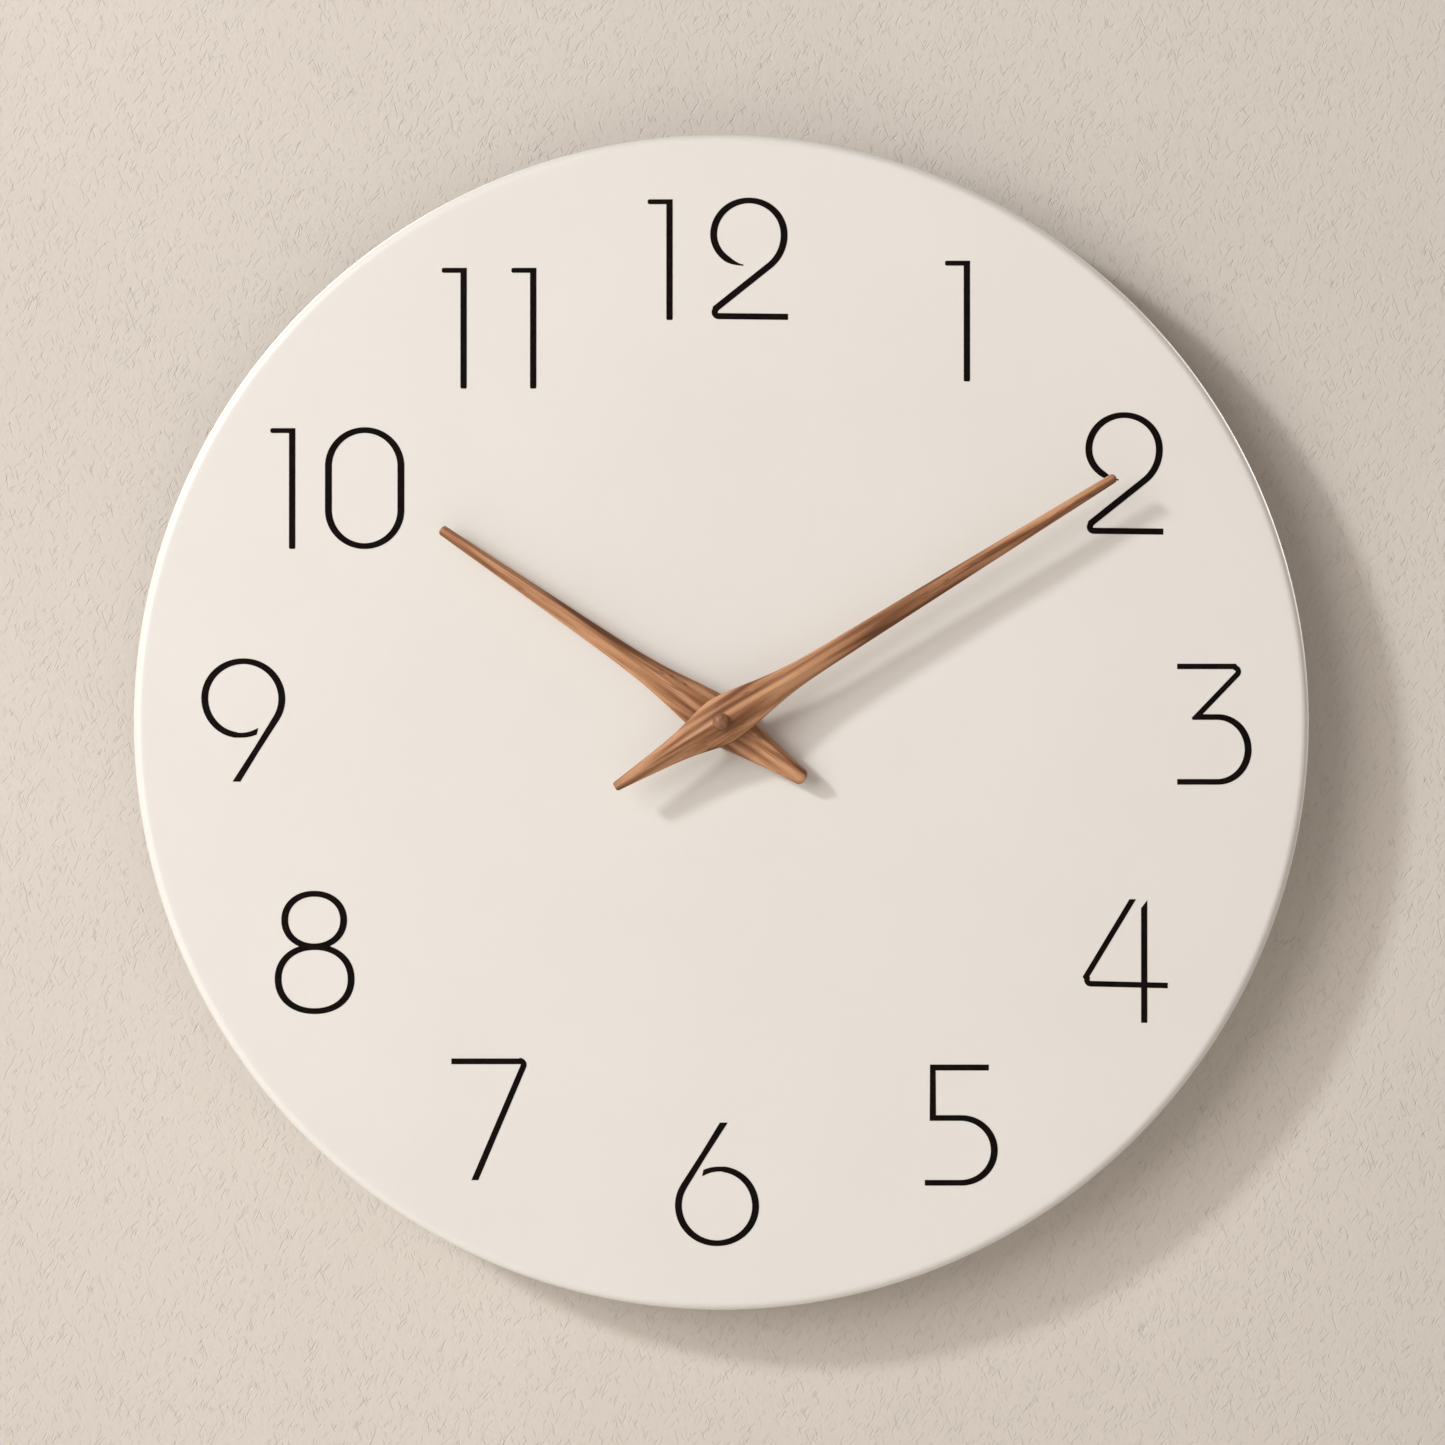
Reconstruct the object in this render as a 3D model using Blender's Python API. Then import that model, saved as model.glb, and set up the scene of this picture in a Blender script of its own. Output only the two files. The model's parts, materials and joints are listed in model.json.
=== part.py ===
"""Round wall clock: a lacquered disc, carved wooden hands and a quartz movement on its back.

Sizes are in millimetres, and MM turns them into Blender's metres when a mesh is made. The origin is
where the hand axis meets the wall. +Z is up, +X is to the right seen from the front, and +Y points
into the wall, so all of the clock has a negative y. A depth is a pair of y values, front first.
Angles in the XZ plane run from +X towards +Z.
"""

from math import atan2, cos, exp, hypot, pi, radians, sin, sqrt

import bmesh
import bpy

MM = 0.001
PLAY = 0.3  # clearance between pieces that touch on the real clock
BITE = 0.3  # how far one shape reaches into another that it is joined with
HUB = (0.0, 0.0)  # the (x, z) of the hand axis

# Dial disc
DIAL_RADIUS = 150.0
DIAL_DEPTH = (-22.7, -13.7)
DIAL_FRONT_EASE = 1.8
DIAL_BACK_EASE = 0.6
DIAL_HOLE = 4.4
POCKET_FLOOR = -18.5
POCKET_HALF_WIDTH = 30.5
POCKET_Z = (-36.0, 31.0)
POCKET_CORNER = 5.0

# Movement case
CASE_HALF_WIDTH = 28.5
CASE_Z = (-34.0, 22.0)
CASE_DEPTH = (-16.0, 0.0)
CASE_CORNER = 2.5
FRONT_WALL = 1.2
SIDE_WALL = 1.3
DIVIDER_Z = (-17.9, -16.6)
COVER_DEPTH = (-1.2, 0.0)
COVER_BOTTOM = -17.3
SHELL_REAR = -1.5
INSIDE_CORNER = 1.0
FINGER_NOTCH_HALF_WIDTH = 7.0
FINGER_NOTCH_FRONT = -7.0
CLIP_Z = (2.0, 8.0)
CLIP_THICKNESS = 0.9
CLIP_FRONT = -5.3
BARB_DEPTH = (-5.1, -4.3)
BARB_REACH = 1.0
PLATE_DEPTH = (-9.0, -8.0)
PLATE_HALF_WIDTH = 25.5
PLATE_Z = (-15.2, 11.2)
PLATE_CORNER = 2.0

# Stack on the hand axis
BUSH_RADIUS = 4.0
BUSH_BORE = 3.0
BUSH_DEPTH = (-26.6, -14.0)
BUSH_FLANGE = 5.5
BUSH_FLANGE_THICKNESS = 0.5
BUSH_LEAD_IN = 0.4
HOLE_ON_BUSH = BUSH_RADIUS + PLAY
HANGER_THICKNESS = 0.8
HANGER_FRONT = -17.1
HANGER_REAR = -1.0
HANGER_HALF_WIDTH = 8.0
HANGER_HEAD_HALF_WIDTH = 12.0
HANGER_JOG = 25.0
HANGER_TOP = 54.0
HANGER_EYE = 9.0
HANGER_CORNER = 5.0
NAIL_SLOT_HALF_WIDTH = 4.5
NAIL_SLOT_Z = (33.0, 46.0)
RUBBER_DEPTH = (-18.2, -17.4)
FRONT_WASHER_RADIUS = 6.3
FRONT_WASHER_DEPTH = (-23.5, -23.0)
NUT_CORNER = 6.06
NUT_DEPTH = (-25.8, -23.8)

# Hands
MINUTE_ANGLE = radians(58.2)
HOUR_ANGLE = radians(304.5)
MINUTE_REACH = (-31.6, 117.5)
HOUR_REACH = (-26.0, 86.4)
MINUTE_HAND_DEPTH = (-36.8, -32.3)
HOUR_HAND_DEPTH = (-31.1, -27.1)
HAND_EDGE = 1.3  # height of a hand's sides, under the facets
MINUTE_BUSHING = (1.75, 3.2)  # bore and outer radius
MINUTE_BUSHING_DEPTH = (-34.6, -32.6)
HOUR_BUSHING = (2.9, 4.0)
HOUR_BUSHING_DEPTH = (-29.8, -27.3)
CAP_RADIUS = 2.1
CAP_DEPTH = (-38.4, -35.4)
CAP_DOME = 1.0
CAP_ROOF = -36.5

# Gear train: teeth and modules
TOOTH = dict(addendum=0.95, dedendum=1.3, root_half=0.27, tip_half=0.1)
ARBOR = 0.5
PIVOT_PLAY = 0.25
CANNON_TEETH = 12
MINUTE_WHEEL_TEETH = 36
MINUTE_PINION_TEETH = 10
HOUR_TEETH = 40
KNOB_TEETH = 18
MOTION_MODULE = 0.35
MOTION_DISTANCE = MOTION_MODULE * (CANNON_TEETH + MINUTE_WHEEL_TEETH) / 2
HOUR_MODULE = 2 * MOTION_DISTANCE / (MINUTE_PINION_TEETH + HOUR_TEETH)
KNOB_DISTANCE = MOTION_MODULE * (MINUTE_WHEEL_TEETH + KNOB_TEETH) / 2
TRAIN_MODULE = 0.25
PINION_TEETH = 8
ROTOR_TEETH = 6
CENTRE_TEETH = 64
THIRD_TEETH = 60
SECOND_TEETH = 40
INTERMEDIATE_TEETH = 36
THIRD_DISTANCE = TRAIN_MODULE * (CENTRE_TEETH + PINION_TEETH) / 2
THIRD_MODULE = 2 * THIRD_DISTANCE / (THIRD_TEETH + PINION_TEETH)
INTERMEDIATE_DISTANCE = TRAIN_MODULE * (SECOND_TEETH + PINION_TEETH) / 2
ROTOR_DISTANCE = TRAIN_MODULE * (INTERMEDIATE_TEETH + ROTOR_TEETH) / 2


def polar(centre, distance, degrees):
    return (
        centre[0] + distance * cos(radians(degrees)),
        centre[1] + distance * sin(radians(degrees)),
    )


def meshed_phase(driver_at, driver_teeth, driver_phase, at, teeth):
    """The phase that puts a gap of this gear over the driver's tooth on the line of centres."""
    towards = atan2(at[1] - driver_at[1], at[0] - driver_at[0])
    off = (driver_phase - towards) * driver_teeth / teeth
    return towards + pi - off + pi / teeth


MINUTE_WHEEL_AT = polar(HUB, MOTION_DISTANCE, -65)
KNOB_AT = polar(MINUTE_WHEEL_AT, KNOB_DISTANCE, -2)
THIRD_AT = polar(HUB, THIRD_DISTANCE, 180)
INTERMEDIATE_AT = polar(HUB, INTERMEDIATE_DISTANCE, 10)
ROTOR_AT = polar(INTERMEDIATE_AT, ROTOR_DISTANCE, 50)
BEARINGS = {
    "second": HUB,
    "third": THIRD_AT,
    "intermediate": INTERMEDIATE_AT,
    "rotor": ROTOR_AT,
}

# Gear train: phases that put every pair in mesh. The other gears have a tooth at angle 0.
MINUTE_WHEEL_PHASE = meshed_phase(HUB, CANNON_TEETH, 0.0, MINUTE_WHEEL_AT, MINUTE_WHEEL_TEETH)
KNOB_PHASE = meshed_phase(
    MINUTE_WHEEL_AT, MINUTE_WHEEL_TEETH, MINUTE_WHEEL_PHASE, KNOB_AT, KNOB_TEETH
)
HOUR_PHASE = meshed_phase(MINUTE_WHEEL_AT, MINUTE_PINION_TEETH, 0.0, HUB, HOUR_TEETH)
THIRD_PINION_PHASE = meshed_phase(HUB, CENTRE_TEETH, 0.0, THIRD_AT, PINION_TEETH)
THIRD_PHASE = meshed_phase(HUB, PINION_TEETH, 0.0, THIRD_AT, THIRD_TEETH)
INTERMEDIATE_PINION_PHASE = meshed_phase(HUB, SECOND_TEETH, 0.0, INTERMEDIATE_AT, PINION_TEETH)
ROTOR_PHASE = meshed_phase(INTERMEDIATE_AT, INTERMEDIATE_TEETH, 0.0, ROTOR_AT, ROTOR_TEETH)

# Gear train: depths
HOUR_WHEEL_DEPTH = (-13.6, -12.4)
HOUR_PIPE_DEPTH = (-31.9, -13.0)
HOUR_PIPE_RADIUS = 2.6
HOUR_PIPE_BORE = 1.75
MINUTE_SHAFT_RADIUS = 1.45
MINUTE_SHAFT_DEPTH = (-36.2, -11.4)
CANNON_DEPTH = (-12.1, -10.6)
JOURNAL_RADIUS = 0.9
JOURNAL_END = -8.7
MINUTE_WHEEL_DEPTH = (-11.9, -10.9)
MINUTE_PINION_DEPTH = (-13.7, -11.6)
MINUTE_POST_RADIUS = 0.7
CENTRE_WHEEL_DEPTH = (-10.2, -9.4)
THIRD_PINION_DEPTH = (-10.5, -9.3)
THIRD_WHEEL_DEPTH = (-7.6, -6.8)
SECOND_PINION_DEPTH = (-7.8, -5.9)
SECOND_WHEEL_DEPTH = (-6.1, -5.3)
INTERMEDIATE_PINION_DEPTH = (-6.3, -4.5)
INTERMEDIATE_WHEEL_DEPTH = (-4.7, -4.0)
ROTOR_PINION_DEPTH = (-5.7, -3.7)
MAGNET_DEPTH = (-7.7, -5.5)
MAGNET_RADIUS = 2.5
ARBOR_REAR = -1.7
MOTOR_ARBOR_FRONT = -8.6
SECOND_ARBOR_FRONT = -8.3
THIRD_ARBOR_FRONT = -12.6
BOSS_FRONT = -3.2
BOSS_RADIUS = 1.35
KNOB_RADIUS = 6.5
KNOB_DEPTH = (-3.4, -0.5)
KNOB_SHAFT_RADIUS = 1.2
KNOB_SHAFT_FRONT = -14.2
KNOB_PINION_DEPTH = (-12.1, -10.7)
KNOB_NOTCHES = 20
KNOB_WINDOW = 7.2

# Stepping motor
STATOR_DEPTH = (-7.6, -6.6)
STATOR_X = (0.5, 21.7)
STATOR_Z = (4.4, 16.6)
STATOR_LEG = 3.4
STATOR_BAR_TOP = 8.2
CORE_DEPTH = (-8.9, -7.9)
CORE_Z = (13.4, 16.6)
COIL_X = (4.6, 17.6)
STATOR_EYE = 4.2
STATOR_PIN_RADIUS = 0.7
STATOR_PIN_Z = 9.5
STATOR_PINS = [
    (STATOR_X[0] + STATOR_LEG / 2, STATOR_PIN_Z),
    (STATOR_X[1] - STATOR_LEG / 2, STATOR_PIN_Z),
]
BOBBIN_FLANGE = 0.9
BOBBIN_HALF = (1.4, 2.5)  # half the depth and half the height of the part under the winding

# Battery bay
CELL_RADIUS = 7.05
CELL_AXIS_Y = -7.5
CELL_AXIS_Z = -25.3
CELL_X = (-24.0, 25.2)
CELL_NUB_RADIUS = 2.75
CELL_NUB_LENGTH = 1.1
CONTACT_X = 27.0
CONTACT_THICKNESS = 0.4
CONTACT_HALF = 5.5

# Circuit board
BOARD_X = (-26.0, -12.5)
BOARD_Z = (-13.0, 6.9)
BOARD_DEPTH = (-13.2, -12.2)
BOARD_PINS = [(-24.2, 4.8), (-24.2, -11.0)]
BOARD_PIN_RADIUS = 0.6
PLATE_POSTS = [(-23.5, 9.2), (23.5, 9.2), (23.5, -13.0)]
PLATE_POST_RADIUS = 0.8
CHIP_AT = (-19.0, -2.5)
CHIP_RADIUS = 3.2
CRYSTAL_X = -15.2
CRYSTAL_RADIUS = 1.05
CRYSTAL_Z = (-12.3, -6.1)


# --- Materials ---------------------------------------------------------------------------------


def material(name, colour, roughness, metallic=0.0):
    made = bpy.data.materials.new(name)
    made.use_nodes = True
    shader = made.node_tree.nodes["Principled BSDF"]
    shader.inputs["Base Color"].default_value = (*colour, 1.0)
    shader.inputs["Roughness"].default_value = roughness
    shader.inputs["Metallic"].default_value = metallic
    return made


# --- Meshes ------------------------------------------------------------------------------------

TURN = {
    "X": lambda along, u, v: (along, u, v),
    "Y": lambda along, u, v: (u, along, v),
    "Z": lambda along, u, v: (u, v, along),
}


def solid(name, points, faces, at=HUB):
    """An object from points in millimetres. at is the (x, z) of its own axis, where its origin goes."""
    bm = bmesh.new()
    verts = [bm.verts.new([value * MM for value in point]) for point in points]
    for face in faces:
        bm.faces.new([verts[i] for i in face])
    bmesh.ops.recalc_face_normals(bm, faces=bm.faces)
    mesh = bpy.data.meshes.new(name)
    bm.to_mesh(mesh)
    bm.free()
    mesh.shade_smooth()
    mesh.set_sharp_from_angle(angle=radians(35))
    made = bpy.data.objects.new(name, mesh)
    made.location = (at[0] * MM, 0.0, at[1] * MM)
    bpy.context.scene.collection.objects.link(made)
    return made


def prism(name, outline, depth, at=HUB, axis="Y"):
    """The outline, a list of (u, v), extruded from depth[0] to depth[1] along the axis."""
    count = len(outline)
    points = [TURN[axis](along, u, v) for along in depth for u, v in outline]
    faces = [list(range(count)), list(range(count, 2 * count))]
    for i in range(count):
        after = (i + 1) % count
        faces.append([i, after, count + after, count + i])
    return solid(name, points, faces, at)


def box(name, x, depth, z):
    return prism(name, [(x[0], z[0]), (x[1], z[0]), (x[1], z[1]), (x[0], z[1])], depth)


def turned(name, profile, at=HUB, axis="Y", centre=HUB, segments=24):
    """The closed profile, a list of (radius, along), turned about the axis through centre."""
    points, rings = [], []
    for radius, along in profile:
        ring = []
        for i in range(segments if radius > 0 else 1):
            angle = 2 * pi * i / segments
            ring.append(len(points))
            u = centre[0] + radius * cos(angle)
            v = centre[1] + radius * sin(angle)
            points.append(TURN[axis](along, u, v))
        rings.append(ring)
    faces = []
    for first, second in zip(rings, rings[1:] + rings[:1]):
        if len(first) == len(second) == 1:
            continue
        for i in range(segments):
            a, b = first[i % len(first)], first[(i + 1) % len(first)]
            c, d = second[(i + 1) % len(second)], second[i % len(second)]
            faces.append(list(dict.fromkeys([a, b, c, d])))
    return solid(name, points, faces, at)


def rod(name, radius, depth, at=HUB, axis="Y", centre=HUB, segments=16):
    profile = [(0, depth[0]), (radius, depth[0]), (radius, depth[1]), (0, depth[1])]
    return turned(name, profile, at, axis, centre, segments)


def stepped(name, steps, at, segments=16):
    """A round post of steps (radius, front, rear), each behind the one before it."""
    profile = [(0, steps[0][1])]
    for radius, front, rear in steps:
        profile += [(radius, front), (radius, rear)]
    return turned(name, profile + [(0, steps[-1][2])], at, segments=segments)


def socket(name, radius, bore, depth, floor, at, segments=16):
    """A round boss with a blind hole. depth runs from its root to its mouth."""
    root, mouth = depth
    profile = [(0, root), (radius, root), (radius, mouth), (bore, mouth), (bore, floor), (0, floor)]
    return turned(name, profile, at, segments=segments)


def ring(name, bore, radius, depth, at=HUB, segments=24):
    profile = [(bore, depth[0]), (radius, depth[0]), (radius, depth[1]), (bore, depth[1])]
    return turned(name, profile, at, segments=segments)


def tube(name, route, radius, sides):
    """A round bar along the points of route, for a route that turns about the X axis."""
    points, faces = [], []
    for i, here in enumerate(route):
        before, after = route[max(i - 1, 0)], route[min(i + 1, len(route) - 1)]
        out = hypot(here[1] - CELL_AXIS_Y, here[2] - CELL_AXIS_Z)
        outward = (0, (here[1] - CELL_AXIS_Y) / out, (here[2] - CELL_AXIS_Z) / out)
        length = sqrt(sum((b - a) ** 2 for a, b in zip(before, after)))
        ahead = [(b - a) / length for a, b in zip(before, after)]
        side = (
            ahead[1] * outward[2] - ahead[2] * outward[1],
            ahead[2] * outward[0] - ahead[0] * outward[2],
            ahead[0] * outward[1] - ahead[1] * outward[0],
        )
        for k in range(sides):
            c, s = radius * cos(2 * pi * k / sides), radius * sin(2 * pi * k / sides)
            points.append([p + c * o + s * q for p, o, q in zip(here, outward, side)])
    for i in range(len(route) - 1):
        for k in range(sides):
            a, b = i * sides + k, i * sides + (k + 1) % sides
            faces.append([a, b, b + sides, a + sides])
    faces.append(list(range(sides)))
    faces.append(list(range(len(points) - sides, len(points))))
    return solid(name, points, faces)


def past(depth, extra=1.0):
    """A stretch that begins before this one and ends beyond it, for a cutter."""
    return (depth[0] - extra, depth[1] + extra)


def rounded(x, z, corner, steps=4):
    """The outline of a rectangle with round corners."""
    outline = []
    corners = ((x[1], z[1], 0), (x[0], z[1], 90), (x[0], z[0], 180), (x[1], z[0], 270))
    for cx, cz, start in corners:
        centre = (
            cx - corner if cx == x[1] else cx + corner,
            cz - corner if cz == z[1] else cz + corner,
        )
        for i in range(steps + 1):
            outline.append(polar(centre, corner, start + 90 * i / steps))
    return outline


def gear_outline(teeth, module, phase, addendum, dedendum, root_half, tip_half):
    """Straight-flanked teeth, whose half-widths are in circular pitches. phase points at a tooth."""
    pitch_radius = teeth * module / 2
    pitch = pi * module
    root = pitch_radius - dedendum * module
    tip = pitch_radius + addendum * module
    at_root, at_tip = root_half * pitch / root, tip_half * pitch / tip
    steps = [(root, -at_root), (tip, -at_tip), (tip, at_tip), (root, at_root)]
    outline = []
    for tooth in range(teeth):
        middle = phase + 2 * pi * tooth / teeth
        for radius, offset in steps:
            outline.append((radius * cos(middle + offset), radius * sin(middle + offset)))
    return outline


def gear(name, teeth, module, phase, depth, at):
    return prism(name, gear_outline(teeth, module, phase, **TOOTH), depth, at)


def join(base, *others, operation="UNION"):
    """Joins the others to base, or cuts them from it, and keeps them as hidden helpers."""
    for other in others:
        other.hide_render = True
        other.display_type = "WIRE"
        step = base.modifiers.new(f"{operation.lower()} {other.name}", "BOOLEAN")
        step.operation = operation
        step.solver = "EXACT"
        step.object = other
    return base


def cut(base, *cutters):
    return join(base, *cutters, operation="DIFFERENCE")


def part(made, look, follows=None):
    """Gives a finished piece its material and, if it turns, the empty that holds its axis."""
    made.data.materials.append(look)
    if follows:
        made.parent = follows
        made.matrix_parent_inverse = follows.matrix_world.inverted()
    return made


def axis_empty(name, at):
    made = bpy.data.objects.new(name, None)
    made.empty_display_size = 10 * MM
    made.location = (at[0] * MM, 0.0, at[1] * MM)
    bpy.context.scene.collection.objects.link(made)
    bpy.context.view_layer.update()
    return made


# --- Dial, washers and hanger ------------------------------------------------------------------


def dial_disc(look):
    front, back = DIAL_DEPTH
    profile = [(DIAL_HOLE, back), (DIAL_HOLE, front)]
    for i in range(4):
        angle = pi / 2 * i / 3
        inset = DIAL_FRONT_EASE * (1 - sin(angle))
        sink = DIAL_FRONT_EASE * (1 - cos(angle))
        profile.append((DIAL_RADIUS - inset, front + sink))
    profile.append((DIAL_RADIUS, back - DIAL_BACK_EASE))
    profile.append((DIAL_RADIUS - DIAL_BACK_EASE, back))
    disc = turned("dial_disc", profile, segments=80)
    outline = rounded((-POCKET_HALF_WIDTH, POCKET_HALF_WIDTH), POCKET_Z, POCKET_CORNER)
    pocket = prism("pocket_cutter", outline, (POCKET_FLOOR, back + 1))
    return part(cut(disc, pocket), look)


def hanger_plate(look):
    """A strip round the bush that jogs back over the case to a wider head with the nail slot."""
    front, rear = HANGER_FRONT, HANGER_REAR
    t, jog, lap = HANGER_THICKNESS, HANGER_JOG, 8.0
    width = (-HANGER_HALF_WIDTH, HANGER_HALF_WIDTH)
    side = [
        (front, 0),
        (front + t, 0),
        (front + t, jog),
        (rear, jog),
        (rear, jog + lap),
        (rear - t, jog + lap),
        (rear - t, jog + t),
        (front, jog + t),
    ]
    plate = prism("hanger_plate", side, width, axis="X")
    eye_depth, head_depth = (front, front + t), (rear - t, rear)
    eye = rod("hanger_eye", HANGER_EYE, eye_depth, segments=28)
    head_x = (-HANGER_HEAD_HALF_WIDTH, HANGER_HEAD_HALF_WIDTH)
    head = prism("hanger_head", rounded(head_x, (jog, HANGER_TOP), HANGER_CORNER), head_depth)
    join(plate, eye, head)
    bush_hole = rod("hanger_bush_hole", HOLE_ON_BUSH, past(eye_depth), segments=24)
    slot_x = (-NAIL_SLOT_HALF_WIDTH, NAIL_SLOT_HALF_WIDTH)
    outline = rounded(slot_x, NAIL_SLOT_Z, NAIL_SLOT_HALF_WIDTH - 0.01)
    return part(cut(plate, bush_hole, prism("nail_slot_cutter", outline, past(head_depth))), look)


def rubber_washer(look):
    return part(ring("rubber_washer", HOLE_ON_BUSH, HANGER_EYE, RUBBER_DEPTH), look)


def front_washer(look):
    washer = ring("front_washer", HOLE_ON_BUSH, FRONT_WASHER_RADIUS, FRONT_WASHER_DEPTH)
    return part(washer, look)


def mounting_nut(look):
    hexagon = [polar(HUB, NUT_CORNER, 30 + 60 * i) for i in range(6)]
    nut = prism("mounting_nut", hexagon, NUT_DEPTH)
    return part(cut(nut, rod("nut_hole", HOLE_ON_BUSH, past(NUT_DEPTH), segments=24)), look)


def threaded_bush(look):
    front, rear = BUSH_DEPTH
    flange_front = rear - BUSH_FLANGE_THICKNESS
    profile = [
        (BUSH_BORE, front),
        (BUSH_RADIUS - BUSH_LEAD_IN, front),
        (BUSH_RADIUS, front + BUSH_LEAD_IN),
        (BUSH_RADIUS, flange_front),
        (BUSH_FLANGE, flange_front),
        (BUSH_FLANGE, rear),
        (BUSH_BORE, rear),
    ]
    return part(turned("threaded_bush", profile), look)


# --- Movement case -----------------------------------------------------------------------------


def front_shell(look):
    front, rear = CASE_DEPTH
    inside = (-CASE_HALF_WIDTH + SIDE_WALL, CASE_HALF_WIDTH - SIDE_WALL)
    floor = front + FRONT_WALL
    beyond = CASE_HALF_WIDTH + 10
    room_depth = (floor, rear + 1)
    outline = rounded((-CASE_HALF_WIDTH, CASE_HALF_WIDTH), CASE_Z, CASE_CORNER)
    shell = prism("front_shell", outline, (front, rear))
    gear_room = rounded(inside, (DIVIDER_Z[1], CASE_Z[1] - SIDE_WALL), INSIDE_CORNER)
    bay = rounded(inside, (CASE_Z[0] + SIDE_WALL, DIVIDER_Z[0]), INSIDE_CORNER)
    rebate_z = (COVER_BOTTOM - PLAY, beyond)
    notch_x = (-FINGER_NOTCH_HALF_WIDTH, FINGER_NOTCH_HALF_WIDTH)
    notch_z = (-beyond, CASE_Z[0] + SIDE_WALL + 1)
    cut(
        shell,
        prism("gear_room_cutter", gear_room, room_depth),
        prism("bay_cutter", bay, room_depth),
        box("cover_rebate", (-beyond, beyond), (SHELL_REAR, rear + 1), rebate_z),
        box("finger_notch", notch_x, (FINGER_NOTCH_FRONT, rear + 1), notch_z),
        box("clip_windows", (-beyond, beyond), past(BARB_DEPTH, 0.5), past(CLIP_Z)),
        rod("bush_hole", HOLE_ON_BUSH, past((front, floor)), segments=24),
    )
    root = floor - BITE
    pivot = ARBOR + PIVOT_PLAY
    knob_pivot = KNOB_SHAFT_RADIUS + PIVOT_PLAY
    shoulder, end = MINUTE_PINION_DEPTH[0] - 0.4, MINUTE_WHEEL_DEPTH[1] + PLAY
    post = [(MINUTE_POST_RADIUS * 2, root, shoulder), (MINUTE_POST_RADIUS, shoulder, end)]
    join(
        shell,
        stepped("minute_wheel_post", post, MINUTE_WHEEL_AT),
        socket("knob_boss", 2.2, knob_pivot, (root, -12.9), KNOB_SHAFT_FRONT - 0.4, KNOB_AT),
        socket("third_boss", 1.3, pivot, (root, -11.0), THIRD_ARBOR_FRONT - 0.4, THIRD_AT),
    )
    for i, at in enumerate(PLATE_POSTS):
        steps = shouldered(PLATE_POST_RADIUS, root, PLATE_DEPTH)
        join(shell, stepped(f"plate_post_{i}", steps, at))
    for i, at in enumerate(BOARD_PINS):
        steps = shouldered(BOARD_PIN_RADIUS, root, BOARD_DEPTH)
        join(shell, stepped(f"board_post_{i}", steps, at))
    return part(shell, look)


def shouldered(radius, root, depth):
    """The steps of a post of twice the radius that stops at a plate, and its pin, which goes through."""
    shoulder = depth[0] - PLAY
    return [(2 * radius, root, shoulder), (radius, shoulder, depth[1] + 0.4)]


def rear_cover(look):
    front, rear = COVER_DEPTH
    width = (-CASE_HALF_WIDTH, CASE_HALF_WIDTH)
    outline = rounded(width, (COVER_BOTTOM, CASE_Z[1]), CASE_CORNER)
    cover = prism("rear_cover", outline, COVER_DEPTH)
    pivot = ARBOR + PIVOT_PLAY
    boss_depth = (front + BITE, BOSS_FRONT)
    for name, at in BEARINGS.items():
        join(cover, socket(f"{name}_boss", BOSS_RADIUS, pivot, boss_depth, front - 0.1, at))
    outer = CASE_HALF_WIDTH - SIDE_WALL - PLAY
    for side in (-1, 1):
        clip_x = sorted((side * (outer - CLIP_THICKNESS), side * outer))
        barb_x = sorted((side * (outer - BITE), side * (outer + BARB_REACH)))
        join(
            cover,
            box(f"clip_{side}", clip_x, (CLIP_FRONT, front + BITE), CLIP_Z),
            box(f"barb_{side}", barb_x, BARB_DEPTH, past(CLIP_Z, -0.5)),
        )
    window = rod("knob_window", KNOB_WINDOW, past(COVER_DEPTH), KNOB_AT, segments=32)
    return part(cut(cover, window), look)


def middle_plate(look):
    """The plate that the motor stands on, with holes for the arbors that pass through it."""
    width = (-PLATE_HALF_WIDTH, PLATE_HALF_WIDTH)
    plate = prism("middle_plate", rounded(width, PLATE_Z, PLATE_CORNER), PLATE_DEPTH)
    pin_depth = (PLATE_DEPTH[1] - BITE, STATOR_DEPTH[1] + 0.3)
    for i, at in enumerate(STATOR_PINS):
        join(plate, rod(f"stator_pin_{i}", STATOR_PIN_RADIUS, pin_depth, at))
    holes = {
        "arbor_way": (HUB, JOURNAL_RADIUS + PLAY),
        "knob_way": (KNOB_AT, KNOB_SHAFT_RADIUS + PLAY),
        "third_way": (THIRD_AT, ARBOR + PLAY),
        "intermediate_way": (INTERMEDIATE_AT, ARBOR + PIVOT_PLAY),
        "rotor_way": (ROTOR_AT, ARBOR + PIVOT_PLAY),
    }
    for i, at in enumerate(PLATE_POSTS):
        holes[f"post_way_{i}"] = (at, PLATE_POST_RADIUS + PLAY)
    for name, (at, radius) in holes.items():
        cut(plate, rod(name, radius, past(PLATE_DEPTH), at))
    return part(plate, look)


# --- Electrical parts --------------------------------------------------------------------------


def circuit_board(look):
    board = box("circuit_board", BOARD_X, BOARD_DEPTH, BOARD_Z)
    for i, at in enumerate(BOARD_PINS):
        cut(board, rod(f"board_hole_{i}", BOARD_PIN_RADIUS + PLAY, past(BOARD_DEPTH), at))
    return part(board, look)


def timer_chip(look):
    """The blob of black resin over the timing circuit."""
    base = BOARD_DEPTH[1] + 0.2
    edge, dome = 0.3, 0.9
    profile = [(0, base), (CHIP_RADIUS, base)]
    for i in range(1, 5):
        angle = pi / 2 * i / 4
        profile.append((CHIP_RADIUS * cos(angle) if i < 4 else 0, base + edge + dome * sin(angle)))
    return part(turned("timer_chip", profile, at=CHIP_AT), look)


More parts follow.
